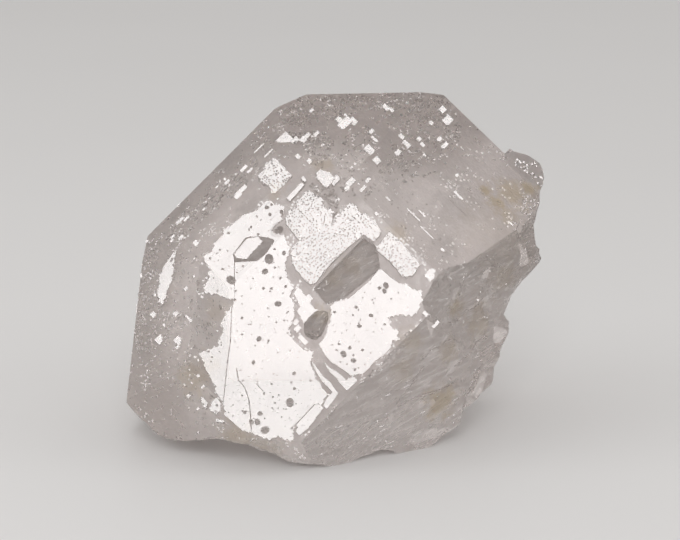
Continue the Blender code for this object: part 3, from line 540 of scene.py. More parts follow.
def activate(piece):
    """Makes this the one selected and active object."""
    deselect()
    piece.select_set(True)
    bpy.context.view_layer.objects.active = piece


def tool_collection(name):
    """A collection for the shapes that the crystal is joined with or cut by."""
    tools = bpy.data.collections.new(name)
    bpy.context.scene.collection.children.link(tools)
    return tools


def combine(piece, tools, operation):
    """Joins the tools with the piece, or cuts the piece by them, and removes the tools."""
    activate(piece)
    modifier = piece.modifiers.new(operation.lower(), "BOOLEAN")
    modifier.operation = operation
    modifier.solver = "MANIFOLD"
    modifier.operand_type = "COLLECTION"
    modifier.collection = tools
    area_before = sum(polygon.area for polygon in piece.data.polygons)
    bpy.ops.object.modifier_apply(modifier=modifier.name)
    if abs(sum(polygon.area for polygon in piece.data.polygons) - area_before) < 1e-9:
        raise RuntimeError(f"{operation} changed nothing on {piece.name}")
    bpy.data.batch_remove([tool.data for tool in tools.objects] + list(tools.objects) + [tools])


def stepped(corners, tread, rng, straight):
    """The outline in treads along the cube edges, and for each of its sides the corner before, by number."""
    turn = Matrix.Rotation(CUBE_EDGE_TURN, 2)
    along = [Vector(corner) @ turn for corner in corners]
    path, owners = [], []
    for number, (start, end) in enumerate(around(along)):
        side = end - start
        points = [start]
        if tread > 0 and number not in straight and min(abs(side.x), abs(side.y)) > TREAD_LEAST * tread:
            treads = max(1, round(side.length / tread))
            shares = sorted(rng.uniform(*TREAD_SHARES) for _ in range(treads - 1)) + [1.0]
            here = start
            for share in shares:
                there = start + side * share
                points.append(Vector((there.x, here.y)))
                if share < 1.0:
                    points.append(there)
                here = there
        path += points
        owners += [number] * len(points)
    return [turn @ point for point in path], owners


def growth_outline(layer):
    """The layer's outline across the face frame, in steps that never cross each other."""
    corners = [on_level(x, y, layer.level * MM).xy for x, y in layer.outline]
    straight = set()
    while True:
        path, owners = stepped(corners, layer.tread * MM, random.Random(layer.seed), straight)
        sides = [(*side, owner) for side, owner in zip(around(path), owners)]
        crossing = set()
        for first in range(len(sides) - 2):
            a, b, owner = sides[first]
            last = len(sides) - (1 if first == 0 else 0)
            for c, d, other in sides[first + 2:last]:
                if intersect_line_line_2d(a, b, c, d):
                    crossing |= {owner, other}
        if crossing <= straight:
            return path
        straight |= crossing


def add_prism(tools, outline, top, bottom):
    """A closed prism of the face frame over an outline."""
    bm = bmesh.new()
    lid = bm.faces.new([bm.verts.new((x, y, top)) for x, y in outline])
    made = bmesh.ops.extrude_face_region(bm, geom=[lid])["geom"]
    below = [part for part in made if isinstance(part, bmesh.types.BMVert)]
    bmesh.ops.translate(bm, verts=below, vec=(0, 0, bottom - top))
    add_tool(tools, bm, STANDING)


def add_wedge(tools, start, end, side, depth):
    """A wedge of the face frame from one point to another, which ends in a line under them."""
    bm = bmesh.new()
    for point in (start, end):
        for way in (side, -side):
            bm.verts.new(point + way)
            bm.verts.new(point + way + Vector((0, 0, WEDGE_TOP)))
        bm.verts.new(point - Vector((0, 0, depth)))
    bmesh.ops.convex_hull(bm, input=bm.verts)
    add_tool(tools, bm, STANDING)


def add_mound(tools, top, top_level, foot, foot_level):
    """A convex block of the face frame that widens from its top's outline to its foot's."""
    bm = bmesh.new()
    for outline, level, sink in ((top, top_level, 0), (foot, foot_level, 0), (foot, foot_level, ROOT)):
        for x, y in outline:
            point = on_level(x, y, level)
            bm.verts.new((point.x, point.y, level - sink))
    hull = bmesh.ops.convex_hull(bm, input=bm.verts)
    bmesh.ops.delete(bm, geom=list({*hull["geom_interior"], *hull["geom_unused"]}), context="VERTS")
    bmesh.ops.dissolve_limit(bm, angle_limit=math.radians(0.5), verts=bm.verts, edges=bm.edges)
    add_tool(tools, bm, STANDING)


def add_tool(tools, bm, place):
    """A tool object from a closed bmesh, which it frees, at its place in the world frame."""
    bmesh.ops.recalc_face_normals(bm, faces=bm.faces)
    mesh = bpy.data.meshes.new("tool")
    bm.to_mesh(mesh)
    bm.free()
    mesh.transform(place)
    tools.objects.link(bpy.data.objects.new("tool", mesh))


def tile_stamp():
    """One cube corner: a unit cuboid under z = 0, its top a little narrower than its foot."""
    deselect()
    bpy.ops.mesh.primitive_cube_add(size=1.0, location=(0, 0, -0.5))
    stamp = bpy.context.object
    stamp.name = "tile stamp"
    bpy.ops.object.transform_apply(location=True, rotation=False, scale=False)
    bpy.ops.object.mode_set(mode="EDIT")
    bpy.ops.mesh.select_all(action="DESELECT")
    bpy.ops.object.mode_set(mode="OBJECT")
    for vert in stamp.data.vertices:
        vert.select = vert.co.z > -0.1
    for polygon in stamp.data.polygons:
        polygon.select = polygon.normal.z > 0.9
    bpy.ops.object.mode_set(mode="EDIT")
    bpy.ops.transform.resize(value=(STAMP_TAPER, STAMP_TAPER, 1.0), center_override=(0, 0, 0))
    bpy.ops.object.mode_set(mode="OBJECT")
    return stamp


def stamp_tile(tools, stamp, centre, size, lean=(0.0, 0.0)):
    """A copy of the stamp with the middle of its top at a point of the face frame."""
    turned = Matrix.Rotation(CUBE_EDGE_TURN, 4, "Z")
    leaned = Matrix.Rotation(math.radians(lean[0]), 4, "X") @ Matrix.Rotation(math.radians(lean[1]), 4, "Y")
    mesh = stamp.data.copy()
    mesh.transform(STANDING @ Matrix.Translation(centre) @ leaned @ turned @ Matrix.Diagonal((*size, 1.0)))
    tools.objects.link(bpy.data.objects.new("tile", mesh))


def surface_of(piece):
    """A search tree over the piece's triangles."""
    bm = bmesh.new()
    bm.from_mesh(piece.data)
    bmesh.ops.triangulate(bm, faces=bm.faces)
    tree = BVHTree.FromBMesh(bm)
    bm.free()
    return tree


def inside(x, y, outline):
    """Whether an image pixel lies in the outline."""
    within = False
    for (ax, ay), (bx, by) in around(outline):
        if (ay > y) != (by > y) and x < (bx - ax) * (y - ay) / (by - ay) + ax:
            within = not within
    return within


def crystal_piece():
    """The crystal, as far as it is made."""
    piece = bpy.data.objects.get(PIECE)
    if piece is None:
        raise RuntimeError("the crystal's body has to be made first")
    return piece


def cut_facet(bm, point, normal):
    """Cuts a convex closed body off past a plane and closes the cut with one flat face."""
    parts = bm.verts[:] + bm.edges[:] + bm.faces[:]
    bmesh.ops.bisect_plane(bm, geom=parts, dist=1e-7, plane_co=point, plane_no=normal, clear_outer=True)
    open_edges = [edge for edge in bm.edges if edge.is_boundary]
    if open_edges:
        bmesh.ops.holes_fill(bm, edges=open_edges, sides=0)


def add_faceted_body(tools):
    """The grown crystal with every flat face trimmed, and the block of its right shoulder."""
    bm = bmesh.new()
    bmesh.ops.create_cube(bm, size=BLANK_SIZE)
    cut_facet(bm, Vector((0, 0, GROUND)), Vector((0, 0, 1)))
    for facet in FACETS:
        normal = polar(facet.toward, facet.tilt)
        across = polar(facet.toward, 90) * facet.reach * MM
        cut_facet(bm, across + Vector((0, 0, facet.level * MM)) - normal * SHAVE, normal)
    add_tool(tools, bm, STANDING)
    body = tools.objects[0]
    across, up, length, width, top = (value * MM for value in SHOULDER)
    block = tool_collection("shoulder")
    turn = Matrix.Rotation(-CUBE_EDGE_TURN, 2)
    corners = [Vector((x, y)) for x, y in ((-1, -1), (1, -1), (1, 1), (-1, 1))]
    outline = [Vector((across, up)) + Vector((c.x * length / 2, c.y * width / 2)) @ turn for c in corners]
    add_prism(block, outline, top, top - SHOULDER_DEPTH)
    combine(body, block, "UNION")


class FLUORITE_OT_body(bpy.types.Operator):
    """Copies the solid crystal and trims its flat faces for the detailed growth"""

    bl_idname = "fluorite.body"
    bl_label = "Crystal body"

    def execute(self, context):
        piece = bpy.data.objects.new(PIECE, frame["nodes"][NODE].data.copy())
        context.scene.collection.objects.link(piece)
        piece.data.materials.clear()
        activate(piece)
        bpy.ops.mesh.customdata_custom_splitnormals_clear()
        bpy.ops.object.shade_flat()
        bpy.ops.object.mode_set(mode="EDIT")
        bpy.ops.mesh.select_all(action="SELECT")
        bpy.ops.mesh.remove_doubles(threshold=SAME_PLANE)
        bpy.ops.mesh.dissolve_limited(angle_limit=math.radians(0.1))
        bpy.ops.object.mode_set(mode="OBJECT")
        tools = tool_collection("faceted body")
        add_faceted_body(tools)
        combine(piece, tools, "INTERSECT")
        filler = tool_collection("filler")
        across, up, half = HOLE_FILL
        corners = ((across + half, up), (across, up + half), (across - half, up), (across, up - half))
        add_prism(filler, corners, HOLE_FILL_TOP, HOLE_FILL_BOTTOM)
        combine(piece, filler, "UNION")
        return {"FINISHED"}


class FLUORITE_OT_growth_layers(bpy.types.Operator):
    """Raises the plates, strips and chips of the cube face"""

    bl_idname = "fluorite.growth_layers"
    bl_label = "Growth layers"

    def execute(self, context):
        tools = tool_collection("growth layers")
        for layer in LAYERS.values():
            top = layer.level * MM
            add_prism(tools, growth_outline(layer), top, min(top, GROUND) - LAYER_ROOT)
        add_mound(tools, BRICK_TOP, BRICK_RISE * MM, BRICK_FOOT, BRICK_SINK * MM)
        combine(crystal_piece(), tools, "UNION")
        return {"FINISHED"}


class FLUORITE_OT_cube_corners(bpy.types.Operator):
    """Sets the small cube corners on the bevels, single ones and scattered ones"""

    bl_idname = "fluorite.cube_corners"
    bl_label = "Cube corners"

    def execute(self, context):
        settings = context.scene.fluorite
        piece = crystal_piece()
        surface = surface_of(piece)
        stamp = tile_stamp()
        tools = tool_collection("cube corners")

        def place(x, y, rising, falling, step, lean=(0.0, 0.0)):
            """Sets a cube corner where the camera sees this pixel, its sizes in pixels."""
            found = seen(surface, x, y)[0]
            if found is None:
                return
            foot = TO_FACE @ found
            scale = PIXEL * (CAMERA_AT - found).length / (PIXEL * FOCAL)
            out = step * scale * settings.step_share
            root = ROOT + out
            size = (rising * scale, falling * scale, root)
            stamp_tile(tools, stamp, foot + Vector((0, 0, out)), size, lean)

        for tile in TILES:
            place(*tile)
        for zone in ZONES.values():
            rng = random.Random(zone.seed)
            xs, ys = [x for x, y in zone.outline], [y for x, y in zone.outline]
            made = 0
            while made < zone.count:
                x, y = rng.uniform(min(xs), max(xs)), rng.uniform(min(ys), max(ys))
                if not inside(x, y, zone.outline):
                    continue
                made += 1
                longest = zone.smallest * (zone.largest / zone.smallest) ** (rng.random() ** SIZE_SKEW)
                shape = zone.stretch ** rng.uniform(*STRETCH_SPREAD) * rng.uniform(*SHAPE_SPREAD)
                rising, falling = longest * math.sqrt(shape), longest / math.sqrt(shape)
                lean = (rng.gauss(0, zone.tilt), rng.gauss(0, zone.tilt))
                step = zone.step * max(rising, falling) * rng.uniform(*STEP_SPREAD)
                place(x, y, rising, falling, step, lean)
        bpy.data.objects.remove(stamp, do_unlink=True)
        combine(piece, tools, "UNION")
        return {"FINISHED"}


class FLUORITE_OT_side_layers(bpy.types.Operator):
    """Grows low square layers on the sides and the back"""

    bl_idname = "fluorite.side_layers"
    bl_label = "Side layers"

    def execute(self, context):
        piece = crystal_piece()
        surface = surface_of(piece)
        stamp = tile_stamp()
        tools = tool_collection("side layers")
        middle = STANDING @ SIDE_MIDDLE
        edge = STANDING.to_3x3() @ polar(45, 90)
        rng = random.Random(SIDE_SEED)
        made = 0
        while made < SIDE_LAYERS:
            way = STANDING.to_3x3() @ polar(rng.uniform(0, 360), rng.uniform(*SIDE_TILTS))
            aim = middle + Vector([rng.uniform(-SIDE_SCATTER, SIDE_SCATTER) for _ in range(3)])
            found, normal = surface.ray_cast(aim + way * 0.1, -way)[:2]
            if found is None or found.z < SIDE_LOWEST or (TO_FACE @ found).z > SIDE_FOREMOST:
                continue
            if normal.z < SIDE_LEAST_UP or not is_flat(TO_FACE.to_3x3() @ normal):
                continue
            made += 1
            along = (edge - normal * edge.dot(normal)).normalized()
            turned = Matrix((along, normal.cross(along), normal)).transposed().to_4x4()
            longest = SIDE_LAYER_SIZE * SIDE_LAYER_SPREAD ** (rng.random() ** SIDE_SKEW)
            size = (longest, longest * rng.uniform(*SIDE_SHAPE), ROOT)
            rise = rng.uniform(SIDE_RISE, SIDE_RISE_MOST + SIDE_RISE_MOST * longest / MM) * MM
            mesh = stamp.data.copy()
            mesh.transform(Matrix.Translation(found + normal * rise) @ turned @ Matrix.Diagonal((*size, 1.0)))
            tools.objects.link(bpy.data.objects.new("layer", mesh))
        bpy.data.objects.remove(stamp, do_unlink=True)
        combine(piece, tools, "UNION")
        return {"FINISHED"}


class FLUORITE_OT_pits_and_cracks(bpy.types.Operator):
    """Sinks the growth pits and the cracks in the plates"""

    bl_idname = "fluorite.pits_and_cracks"
    bl_label = "Pits and cracks"

    def execute(self, context):
        settings = context.scene.fluorite
        piece = crystal_piece()
        surface = surface_of(piece)
        tools = tool_collection("pits and cracks")

        def sink(x, y, width):
            """Sinks a pit of this width in pixels where the camera sees this pixel."""
            rim = TO_FACE @ seen(surface, x, y)[0]
            corner = width * PIXEL * PIT_RIM
            depth = settings.pit_depth * width * PIXEL
            floor = corner * PIT_FLOOR
            sides = PIT_SIDES if width > SMALL_PIT else SMALL_PIT_SIDES
            bm = bmesh.new()
            bmesh.ops.create_cone(
                bm, cap_ends=True, segments=sides, radius1=floor, radius2=2 * corner - floor, depth=2 * depth)
            turned = Matrix.Rotation(x + 2 * y, 4, "Z") @ Matrix.Diagonal(PIT_OVAL)
            add_tool(tools, bm, STANDING @ Matrix.Translation(rim) @ turned)

        for pit in PITS:
            sink(*pit)
        rng = random.Random(FINE_PIT_SEED)
        made = 0
        outlines = [LAYERS[name].outline for name in ("left plate", "right plate")]
        while made < FINE_PITS:
            x, y = (rng.uniform(*reach) for reach in PLATE_FIELD)
            if any(inside(x, y, outline) for outline in outlines):
                sink(x, y, rng.uniform(*FINE_PIT_WIDTH))
                made += 1
        for crack in CRACKS:
            points = [TO_FACE @ seen(surface, x, y)[0] for x, y in crack.path]
            half, depth = crack.width * PIXEL / 2, crack.depth * PIXEL
            for start, end in zip(points, points[1:]):
                way = (end - start).xy.normalized()
                side = Vector((-way.y, way.x, 0)) * half
                beyond = (end - start).normalized() * half
                add_wedge(tools, start - beyond, end + beyond, side, depth)
        add_hole(tools)
        combine(piece, tools, "DIFFERENCE")
        return {"FINISHED"}


class FLUORITE_OT_cleavage(bpy.types.Operator):
    """Splits flat chips, the shoulder's corner and the low rim off the broken side"""

    bl_idname = "fluorite.cleavage"
    bl_label = "Cleavage chips"

    def execute(self, context):
        piece = crystal_piece()
        surface = surface_of(piece)
        tools = tool_collection("chips")
        planes = []
        for chip in CHIPS:
            found, normal = seen(surface, chip.x, chip.y)
            upright = normal.to_track_quat("Z", "Y").to_matrix().to_4x4()
            turned = Matrix.Rotation(math.radians(chip.turn), 4, "Z")
            turned = turned @ Matrix.Rotation(math.radians(chip.tilt), 4, "X")
            place = Matrix.Translation(found - normal * chip.sink * PIXEL) @ upright @ turned
            rng = random.Random(chip.x)
            bm = bmesh.new()
            rims = ([], [])
            for corner in range(CHIP_CORNERS):
                turn = math.tau * (corner + rng.uniform(-CHIP_UNEVEN, CHIP_UNEVEN)) / CHIP_CORNERS
                reach = rng.uniform(*CHIP_REACH)
                x, y = chip.wide * PIXEL * reach * math.cos(turn), chip.tall * PIXEL * reach * math.sin(turn)
                rims[0].append(bm.verts.new((x, y, 0)))
                rims[1].append(bm.verts.new((CHIP_FLARE * x, CHIP_FLARE * y, CHIP_HEIGHT)))
            for rim in rims:
                bm.faces.new(rim)
            for (low, low_next), (high, high_next) in zip(around(rims[0]), around(rims[1])):
                bm.faces.new((low, low_next, high_next, high))
            add_tool(tools, bm, place)
            planes.append((place.translation, place.to_3x3() @ Vector((0, 0, 1))))
        corner = [on_level(x, y, CORNER_LEVEL).xy for x, y in LOST_CORNER]
        add_prism(tools, corner, CORNER_TOP, CORNER_BOTTOM)
        for start, end in zip(BROKEN_RIM, BROKEN_RIM[1:]):
            far = [RIM_MIDDLE + (Vector(point) - RIM_MIDDLE) * RIM_SHARE for point in (end, start)]
            outline = (start, end, *far)
            add_mound(tools, outline, RIM_TOP, outline, RIM_BOTTOM)
        combine(piece, tools, "DIFFERENCE")
        cleaved = piece.data.attributes.new("cleaved", "FLOAT", "FACE")
        for polygon in piece.data.polygons:
            for point, normal in planes:
                off = abs((polygon.center - point).dot(normal))
                if polygon.normal.dot(normal) > SAME_WAY and off < SAME_PLANE:
                    cleaved.data[polygon.index].value = 1.0
        return {"FINISHED"}


def add_hole(tools):
    """An uneven funnel under the hole's outline."""
    rim = [on_level(x, y, GROUND).xy for x, y in HOLE]
    middle = sum(rim, Vector((0, 0))) / len(rim)
    bm = bmesh.new()
    rows = []
    for level, share in HOLE_RINGS:
        row = []
        for point in rim:
            here = middle + (point - middle) * share
            bulge = 1 + HOLE_UNEVEN * noise.noise(Vector((here.x, here.y, level)) / MM) if share < 1 else 1.0
            here = middle + (here - middle) * bulge
            row.append(bm.verts.new((here.x, here.y, level)))
        rows.append(row)
    bm.faces.new(rows[0])
    foot = bm.verts.new((middle.x + HOLE_FOOT[0], middle.y + HOLE_FOOT[1], HOLE_FOOT[2]))
    for low, low_next in around(rows[-1]):
        bm.faces.new((low, low_next, foot))
    for above, below in zip(rows, rows[1:]):
        for (high, high_next), (low, low_next) in zip(around(above), around(below)):
            bm.faces.new((high, high_next, low_next))
            bm.faces.new((high, low_next, low))
    add_tool(tools, bm, STANDING)


def is_flat(normal):
    """Whether a normal of the face frame belongs to one of the grown faces."""
    limit = math.cos(FLAT_WITHIN)
    if any(normal.dot(polar(facet.toward, facet.tilt)) > limit for facet in FACETS):
        return True
    return any(abs(normal.dot(polar(*way))) > limit for way in CUBE_FACES)


def cut_grid(bm, faces, spacing, turn):
    """Cuts the faces along three sets of parallel planes, two upright on the cube face and one along it."""
    parts = list(faces) + list({edge for face in faces for edge in face.edges})
    for way in (polar(turn, 90), polar(turn + 90, 90), polar(0, 0)):
        way = STANDING.to_3x3() @ way
        reach = [way.dot(vert.co) for part in parts if part.is_valid for vert in part.verts]
        planes = int((max(reach) - min(reach)) / spacing)
        for number in range(planes):
            middle = way * (min(reach) + (number + 0.5) * spacing)
            parts = bmesh.ops.bisect_plane(bm, geom=parts, dist=1e-8, plane_co=middle, plane_no=way)["geom"]
            parts = [part for part in parts if not isinstance(part, bmesh.types.BMVert)]


def depth_in(bm, broken, rings):
    """For each vertex of the broken side, how many edges it is from its border, up to this many."""
    depth = {}
    front = []
    for vert in bm.verts:
        kinds = {face[broken] > 0 for face in vert.link_faces}
        if kinds == {True, False}:
            depth[vert] = 0
            front.append(vert)
    for ring in range(1, rings + 1):
        reached = []
        for vert in front:
            for edge in vert.link_edges:
                other = edge.other_vert(vert)
                if other not in depth and other.link_faces[0][broken] > 0:
                    depth[other] = ring
                    reached.append(other)
        front = reached
    return depth


def ripple(point):
    """The height of the broken side's ripples, about 0 to 1, over a point of the face frame in metres."""
    along = RIPPLE_TURN @ point.xy
    bend = noise.noise(Vector((point.x, point.y, point.z)) * BEND_WAVES) * BEND

    def field(waves, sway):
        """Noise with so many waves along, across and out, that sways across with the bend."""
        return noise.noise(Vector((
            along.x * waves[0] + bend, along.y * waves[1] + sway * bend, point.z * waves[2])))

    crest, small = field(CREST_WAVES, 2), field(SMALL_WAVES, 0)
    swell = noise.noise(point * SWELL_WAVES)
    return (1 - abs(crest)) ** 3 * CREST_SHARE + small * SMALL_SHARE + swell * SWELL_SHARE


class FLUORITE_OT_broken_side(bpy.types.Operator):
    """Refines the broken side and ripples it, and lets it run out over the worn faces"""

    bl_idname = "fluorite.broken_side"
    bl_label = "Broken side"

    def execute(self, context):
        settings = context.scene.fluorite
        piece = crystal_piece()
        bm = bmesh.new()
        bm.from_mesh(piece.data)
        broken = bm.faces.layers.float.new("broken")
        cleaved = bm.faces.layers.float["cleaved"]
        rotate = TO_FACE.to_3x3()
        worn = [polar(*face) for face in WORN_FACES]
        for face in bm.faces:
            normal = rotate @ face.normal
            if face[cleaved] > 0:
                continue
            if any(normal.dot(way) > WORN_WAY for way in worn) and face.calc_area() > WORN_AREA:
                face[broken] = 0.5
            elif face.normal.z > RESTING_WAY and not is_flat(normal):
                face[broken] = 1.0
        cut_grid(bm, [face for face in bm.faces if face[broken] > 0], GRID_SPACING, GRID_TURN)
        wide = [face for face in bm.faces if face[broken] > 0 and len(face.verts) > 3]
        bmesh.ops.triangulate(bm, faces=wide)
        bm.normal_update()
        depth = depth_in(bm, broken, BORDER_EDGES - 1)
        moves = {}
        for vert in bm.verts:
            if vert.link_faces and all(face[broken] > 0 for face in vert.link_faces):
                share = depth.get(vert, BORDER_EDGES) / BORDER_EDGES
                point = TO_FACE @ vert.co
                moves[vert] = vert.normal * (ripple(point) - 0.5) * share * settings.relief
        for vert, move in moves.items():
            vert.co += move
        for face in bm.faces:
            face.smooth = face[broken] > 0
        bm.to_mesh(piece.data)
        bm.free()
        return {"FINISHED"}


def link(tree, out_socket, in_socket):
    """Connects two sockets."""
    tree.links.new(out_socket, in_socket)


def feed(tree, sockets, values):
    """Sets each input socket to its value, or connects it where the value is a socket."""
    for socket, value in zip(sockets, values):
        if isinstance(value, bpy.types.NodeSocket):
            link(tree, value, socket)
        else:
            socket.default_value = value


def add_node(tree, kind, **values):
    """A shader node with its properties and, by name with spaces as underscores, its inputs set."""
    node = tree.nodes.new(kind)
    for key, value in values.items():
        if hasattr(node, key):
            setattr(node, key, value)
        else:
            feed(tree, [node.inputs[key.replace("_", " ")]], [value])
    return node


def math_node(tree, operation, *values):
    """A calculation on numbers and sockets."""
    node = add_node(tree, "ShaderNodeMath", operation=operation)
    feed(tree, node.inputs, values)
    return node.outputs[0]


def product(tree, total, *others):
    """These numbers and sockets multiplied."""
    for other in others:
        total = math_node(tree, "MULTIPLY", total, other)
    return total


def mix(tree, kind, factor, a, b):
    """A number, vector or colour between a and b, each a value or a socket."""
    first, second, result = MIX_SOCKETS[kind]
    node = add_node(tree, "ShaderNodeMix", data_type=kind)
    feed(tree, (node.inputs[0], node.inputs[first], node.inputs[second]), (factor, a, b))
    return node.outputs[result]


def pattern_group(name, vectors, numbers):
    """A new node group with these inputs, the sockets that they come in by, and the mask that it puts out."""
    group = bpy.data.node_groups.new(name, "ShaderNodeTree")
    for names, kind in ((vectors, "NodeSocketVector"), (numbers, "NodeSocketFloat")):
        for socket in names:
            group.interface.new_socket(name=socket, in_out="INPUT", socket_type=kind)
    group.interface.new_socket(name="Mask", in_out="OUTPUT", socket_type="NodeSocketFloat")
    return group, group.nodes.new("NodeGroupInput").outputs, group.nodes.new("NodeGroupOutput").inputs["Mask"]


def mottle_group():
    """Soft patches: a noise field, 0 where it is under Low and 1 where it is over High."""
    group = bpy.data.node_groups.get("soft mottle")
    if group is None:
        group, given, mask = pattern_group("soft mottle", ("Vector",), ("Scale", "Detail", "Low", "High"))
        field = add_node(
            group, "ShaderNodeTexNoise", Vector=given["Vector"], Scale=given["Scale"], Detail=given["Detail"])
        spread = add_node(
            group, "ShaderNodeMapRange", interpolation_type="SMOOTHSTEP", Value=field.outputs["Fac"],
            From_Min=given["Low"], From_Max=given["High"])
        link(group, spread.outputs["Result"], mask)
    return group


def add_mottle(tree, vector, name):
    """Soft patches as a mask."""
    scale, detail, low, high = MOTTLES[name]
    return add_node(
        tree, "ShaderNodeGroup", node_tree=mottle_group(), Vector=vector, Scale=scale, Detail=detail, Low=low,
        High=high).outputs["Mask"]


def spot_group():
    """A soft uneven spot round a centre, 1 in its middle and 0 past its radius."""
    group = bpy.data.node_groups.get("soft spot")
    if group is None:
        group, given, mask = pattern_group("soft spot", ("Vector", "Centre"), ("Radius", "Uneven"))
        away = add_node(group, "ShaderNodeVectorMath", operation="DISTANCE")
        feed(group, away.inputs, (given["Vector"], given["Centre"]))
        share = math_node(group, "DIVIDE", away.outputs["Value"], given["Radius"])
        fall = add_node(
            group, "ShaderNodeMapRange", interpolation_type="SMOOTHSTEP",
            Value=math_node(group, "ADD", given["Uneven"], share), From_Min=SPOT_FALL[0],
            From_Max=SPOT_FALL[1], To_Min=1.0, To_Max=0.0)
        link(group, fall.outputs["Result"], mask)
    return group


def add_spots(tree, place, piece, spots):
    """All these spots as one mask."""
    surface = surface_of(piece)
    field = add_node(
        tree, "ShaderNodeTexNoise", Vector=place, Scale=SPOT_SCALE, Detail=5.0, Roughness=0.7).outputs["Fac"]
    uneven = product(tree, field, SPOT_UNEVEN)
    total = None
    for spot in spots:
        node = add_node(
            tree, "ShaderNodeGroup", node_tree=spot_group(), Vector=place, Uneven=uneven,
            Centre=seen(surface, spot.x, spot.y)[0], Radius=spot.radius * PIXEL)
        mask = product(tree, node.outputs["Mask"], spot.strength)
        total = mask if total is None else math_node(tree, "MAXIMUM", total, mask)
    return total


def scaled(colour, share):
    """The colour made darker."""
    return tuple(channel * share for channel in colour[:3]) + (1.0,)


def turned_frame(tree, place, turn):
    """Coordinates across the cube face, turned so far from its X and Y, and out of it."""
    turned = STANDING @ Matrix.Rotation(turn, 4, "Z")
    node = add_node(
        tree, "ShaderNodeMapping", vector_type="TEXTURE", Vector=place, Location=turned.translation,
        Rotation=turned.to_euler())
    return node.outputs["Vector"]


def cells(tree, vector, scale):
    """Square cells: how far each point is from its cell's middle, and the cell's own number."""
    node = add_node(
        tree, "ShaderNodeTexVoronoi", voronoi_dimensions="2D", distance="CHEBYCHEV", Vector=vector,
        Scale=scale, Randomness=1.0)
    parts = add_node(tree, "ShaderNodeSeparateColor", Color=node.outputs["Color"])
    return node.outputs["Distance"], parts.outputs["Red"]


def flats(tree, vector, scale, half, least, field):
    """Tiny flats in the cells whose number times the field is over the least."""
    distance, number = cells(tree, vector, scale)
    chosen = math_node(tree, "GREATER_THAN", product(tree, number, field), least)
    return product(tree, chosen, math_node(tree, "LESS_THAN", distance, half))


def crystal_material(settings, piece):
    """Frosted see-through fluorite with polished plates, tiny mirrors, a stringy break and stains."""
    material = bpy.data.materials.new("frosted fluorite")
    material.use_nodes = True
    tree = material.node_tree
    shader = tree.nodes["Principled BSDF"].inputs
    shader["IOR"].default_value = settings.refraction
    shader["Transmission Weight"].default_value = CLEARNESS
    shader["Coat IOR"].default_value = COAT_IOR
    shader["Coat Roughness"].default_value = MIRROR
    body = settings.body_colour
    place = add_node(tree, "ShaderNodeTexCoord").outputs["Object"]
    along = turned_frame(tree, place, CUBE_EDGE_TURN)
    polished, speckled, sparkling, broken, cleaved = (
        add_node(tree, "ShaderNodeAttribute", attribute_name=name).outputs["Fac"]
        for name in ("polished", "speckled", "sparkling", "broken", "cleaved"))
    worn = math_node(tree, "GREATER_THAN", math_node(tree, "ADD", broken, cleaved), WORN_LEAST)

    # Dark grains that dull the speckled plates.
    distance, number = cells(tree, along, GRAIN_SCALE)
    grain = math_node(tree, "ADD", distance, product(tree, number, GRAIN_SPREAD))
    grain = product(tree, math_node(tree, "LESS_THAN", grain, GRAIN_HALF), speckled)
    polish = product(tree, polished, math_node(tree, "SUBTRACT", 1.0, grain))

    # Strings drawn out along the break.
    drawn = add_node(
        tree, "ShaderNodeMapping", vector_type="POINT", Vector=turned_frame(tree, place, STRING_TURN),
        Scale=STRING_STRETCH).outputs["Vector"]
    strings = product(tree, add_mottle(tree, drawn, "strings"), worn)

    # Tiny flats that mirror like the cube face, on the frosted growth and, as slivers and points, on the
    # break.
    field = add_mottle(tree, place, "sparks")
    spark = product(tree, flats(tree, along, SPARK_SCALE, SPARK_HALF, SPARK_LEAST, field), sparkling)
    field = add_mottle(tree, place, "glints")
    for vector, scale in ((drawn, SLIVER_SCALE), (along, GLINT_SCALE)):
        lit = product(tree, flats(tree, vector, scale, GLINT_HALF, GLINT_LEAST, field), worn)
        spark = math_node(tree, "MAXIMUM", spark, lit)
    mirror = math_node(tree, "MAXIMUM", polish, spark)

    # Patches and clouds, the paler broken side (partly painted light) with its strings, then painted shade on
    # the upper bevels, stains and grains, one over another.
    colour = body
    shades = {name: scaled(body, share) for name, share in SHADES.items()}
    for mask, other in (
            (add_mottle(tree, place, "patches"), shades["patches"]),
            (product(tree, add_mottle(tree, place, "clouds"), CLOUD_COVER), shades["clouds"]),
            # the broken side made paler, partly as painted light
            (product(tree, worn, BREAK_COVER), PALE_BREAK_AND_PAINTED_LIGHT),
            (product(tree, strings, STRING_COVER), shades["strings"]),
            # painted shade that darkens the upper bevels
            (add_spots(tree, place, piece, UPPER_PAINTED_SHADE), shades["upper_painted_shade"]),
            (add_spots(tree, place, piece, STAINS), settings.stain_colour),
            (grain, shades["grains"])):
        colour = mix(tree, "RGBA", mask, colour, other)
    link(tree, colour, shader["Base Color"])

    frost = mix(tree, "FLOAT", add_mottle(tree, place, "frost"), *FROST)
    frost = mix(tree, "FLOAT", worn, frost, mix(tree, "FLOAT", strings, *BROKEN_FROST))
    link(tree, mix(tree, "FLOAT", mirror, frost, MIRROR), shader["Roughness"])
    link(tree, mirror, shader["Coat Weight"])

    fine, coarse = (
        add_node(tree, "ShaderNodeTexNoise", Vector=place, Scale=scale, Detail=detail).outputs["Fac"]
        for scale, detail in BUMPS)
    height = mix(tree, "FLOAT", BUMP_MIX, fine, coarse)
    height = product(tree, height, math_node(tree, "SUBTRACT", 1.0, polished))
    height = math_node(tree, "ADD", height, strings)
    bump = add_node(tree, "ShaderNodeBump", Distance=BUMP_HEIGHT, Strength=BUMP_STRENGTH, Height=height)
    link(tree, mix(tree, "VECTOR", spark, bump.outputs["Normal"], FACE_NORMAL), shader["Normal"])

    inner = add_node(tree, "ShaderNodeVolumeAbsorption", Color=CLEAR_INSIDE, Density=settings.absorption)
    link(tree, inner.outputs["Volume"], tree.nodes["Material Output"].inputs["Volume"])
    return material


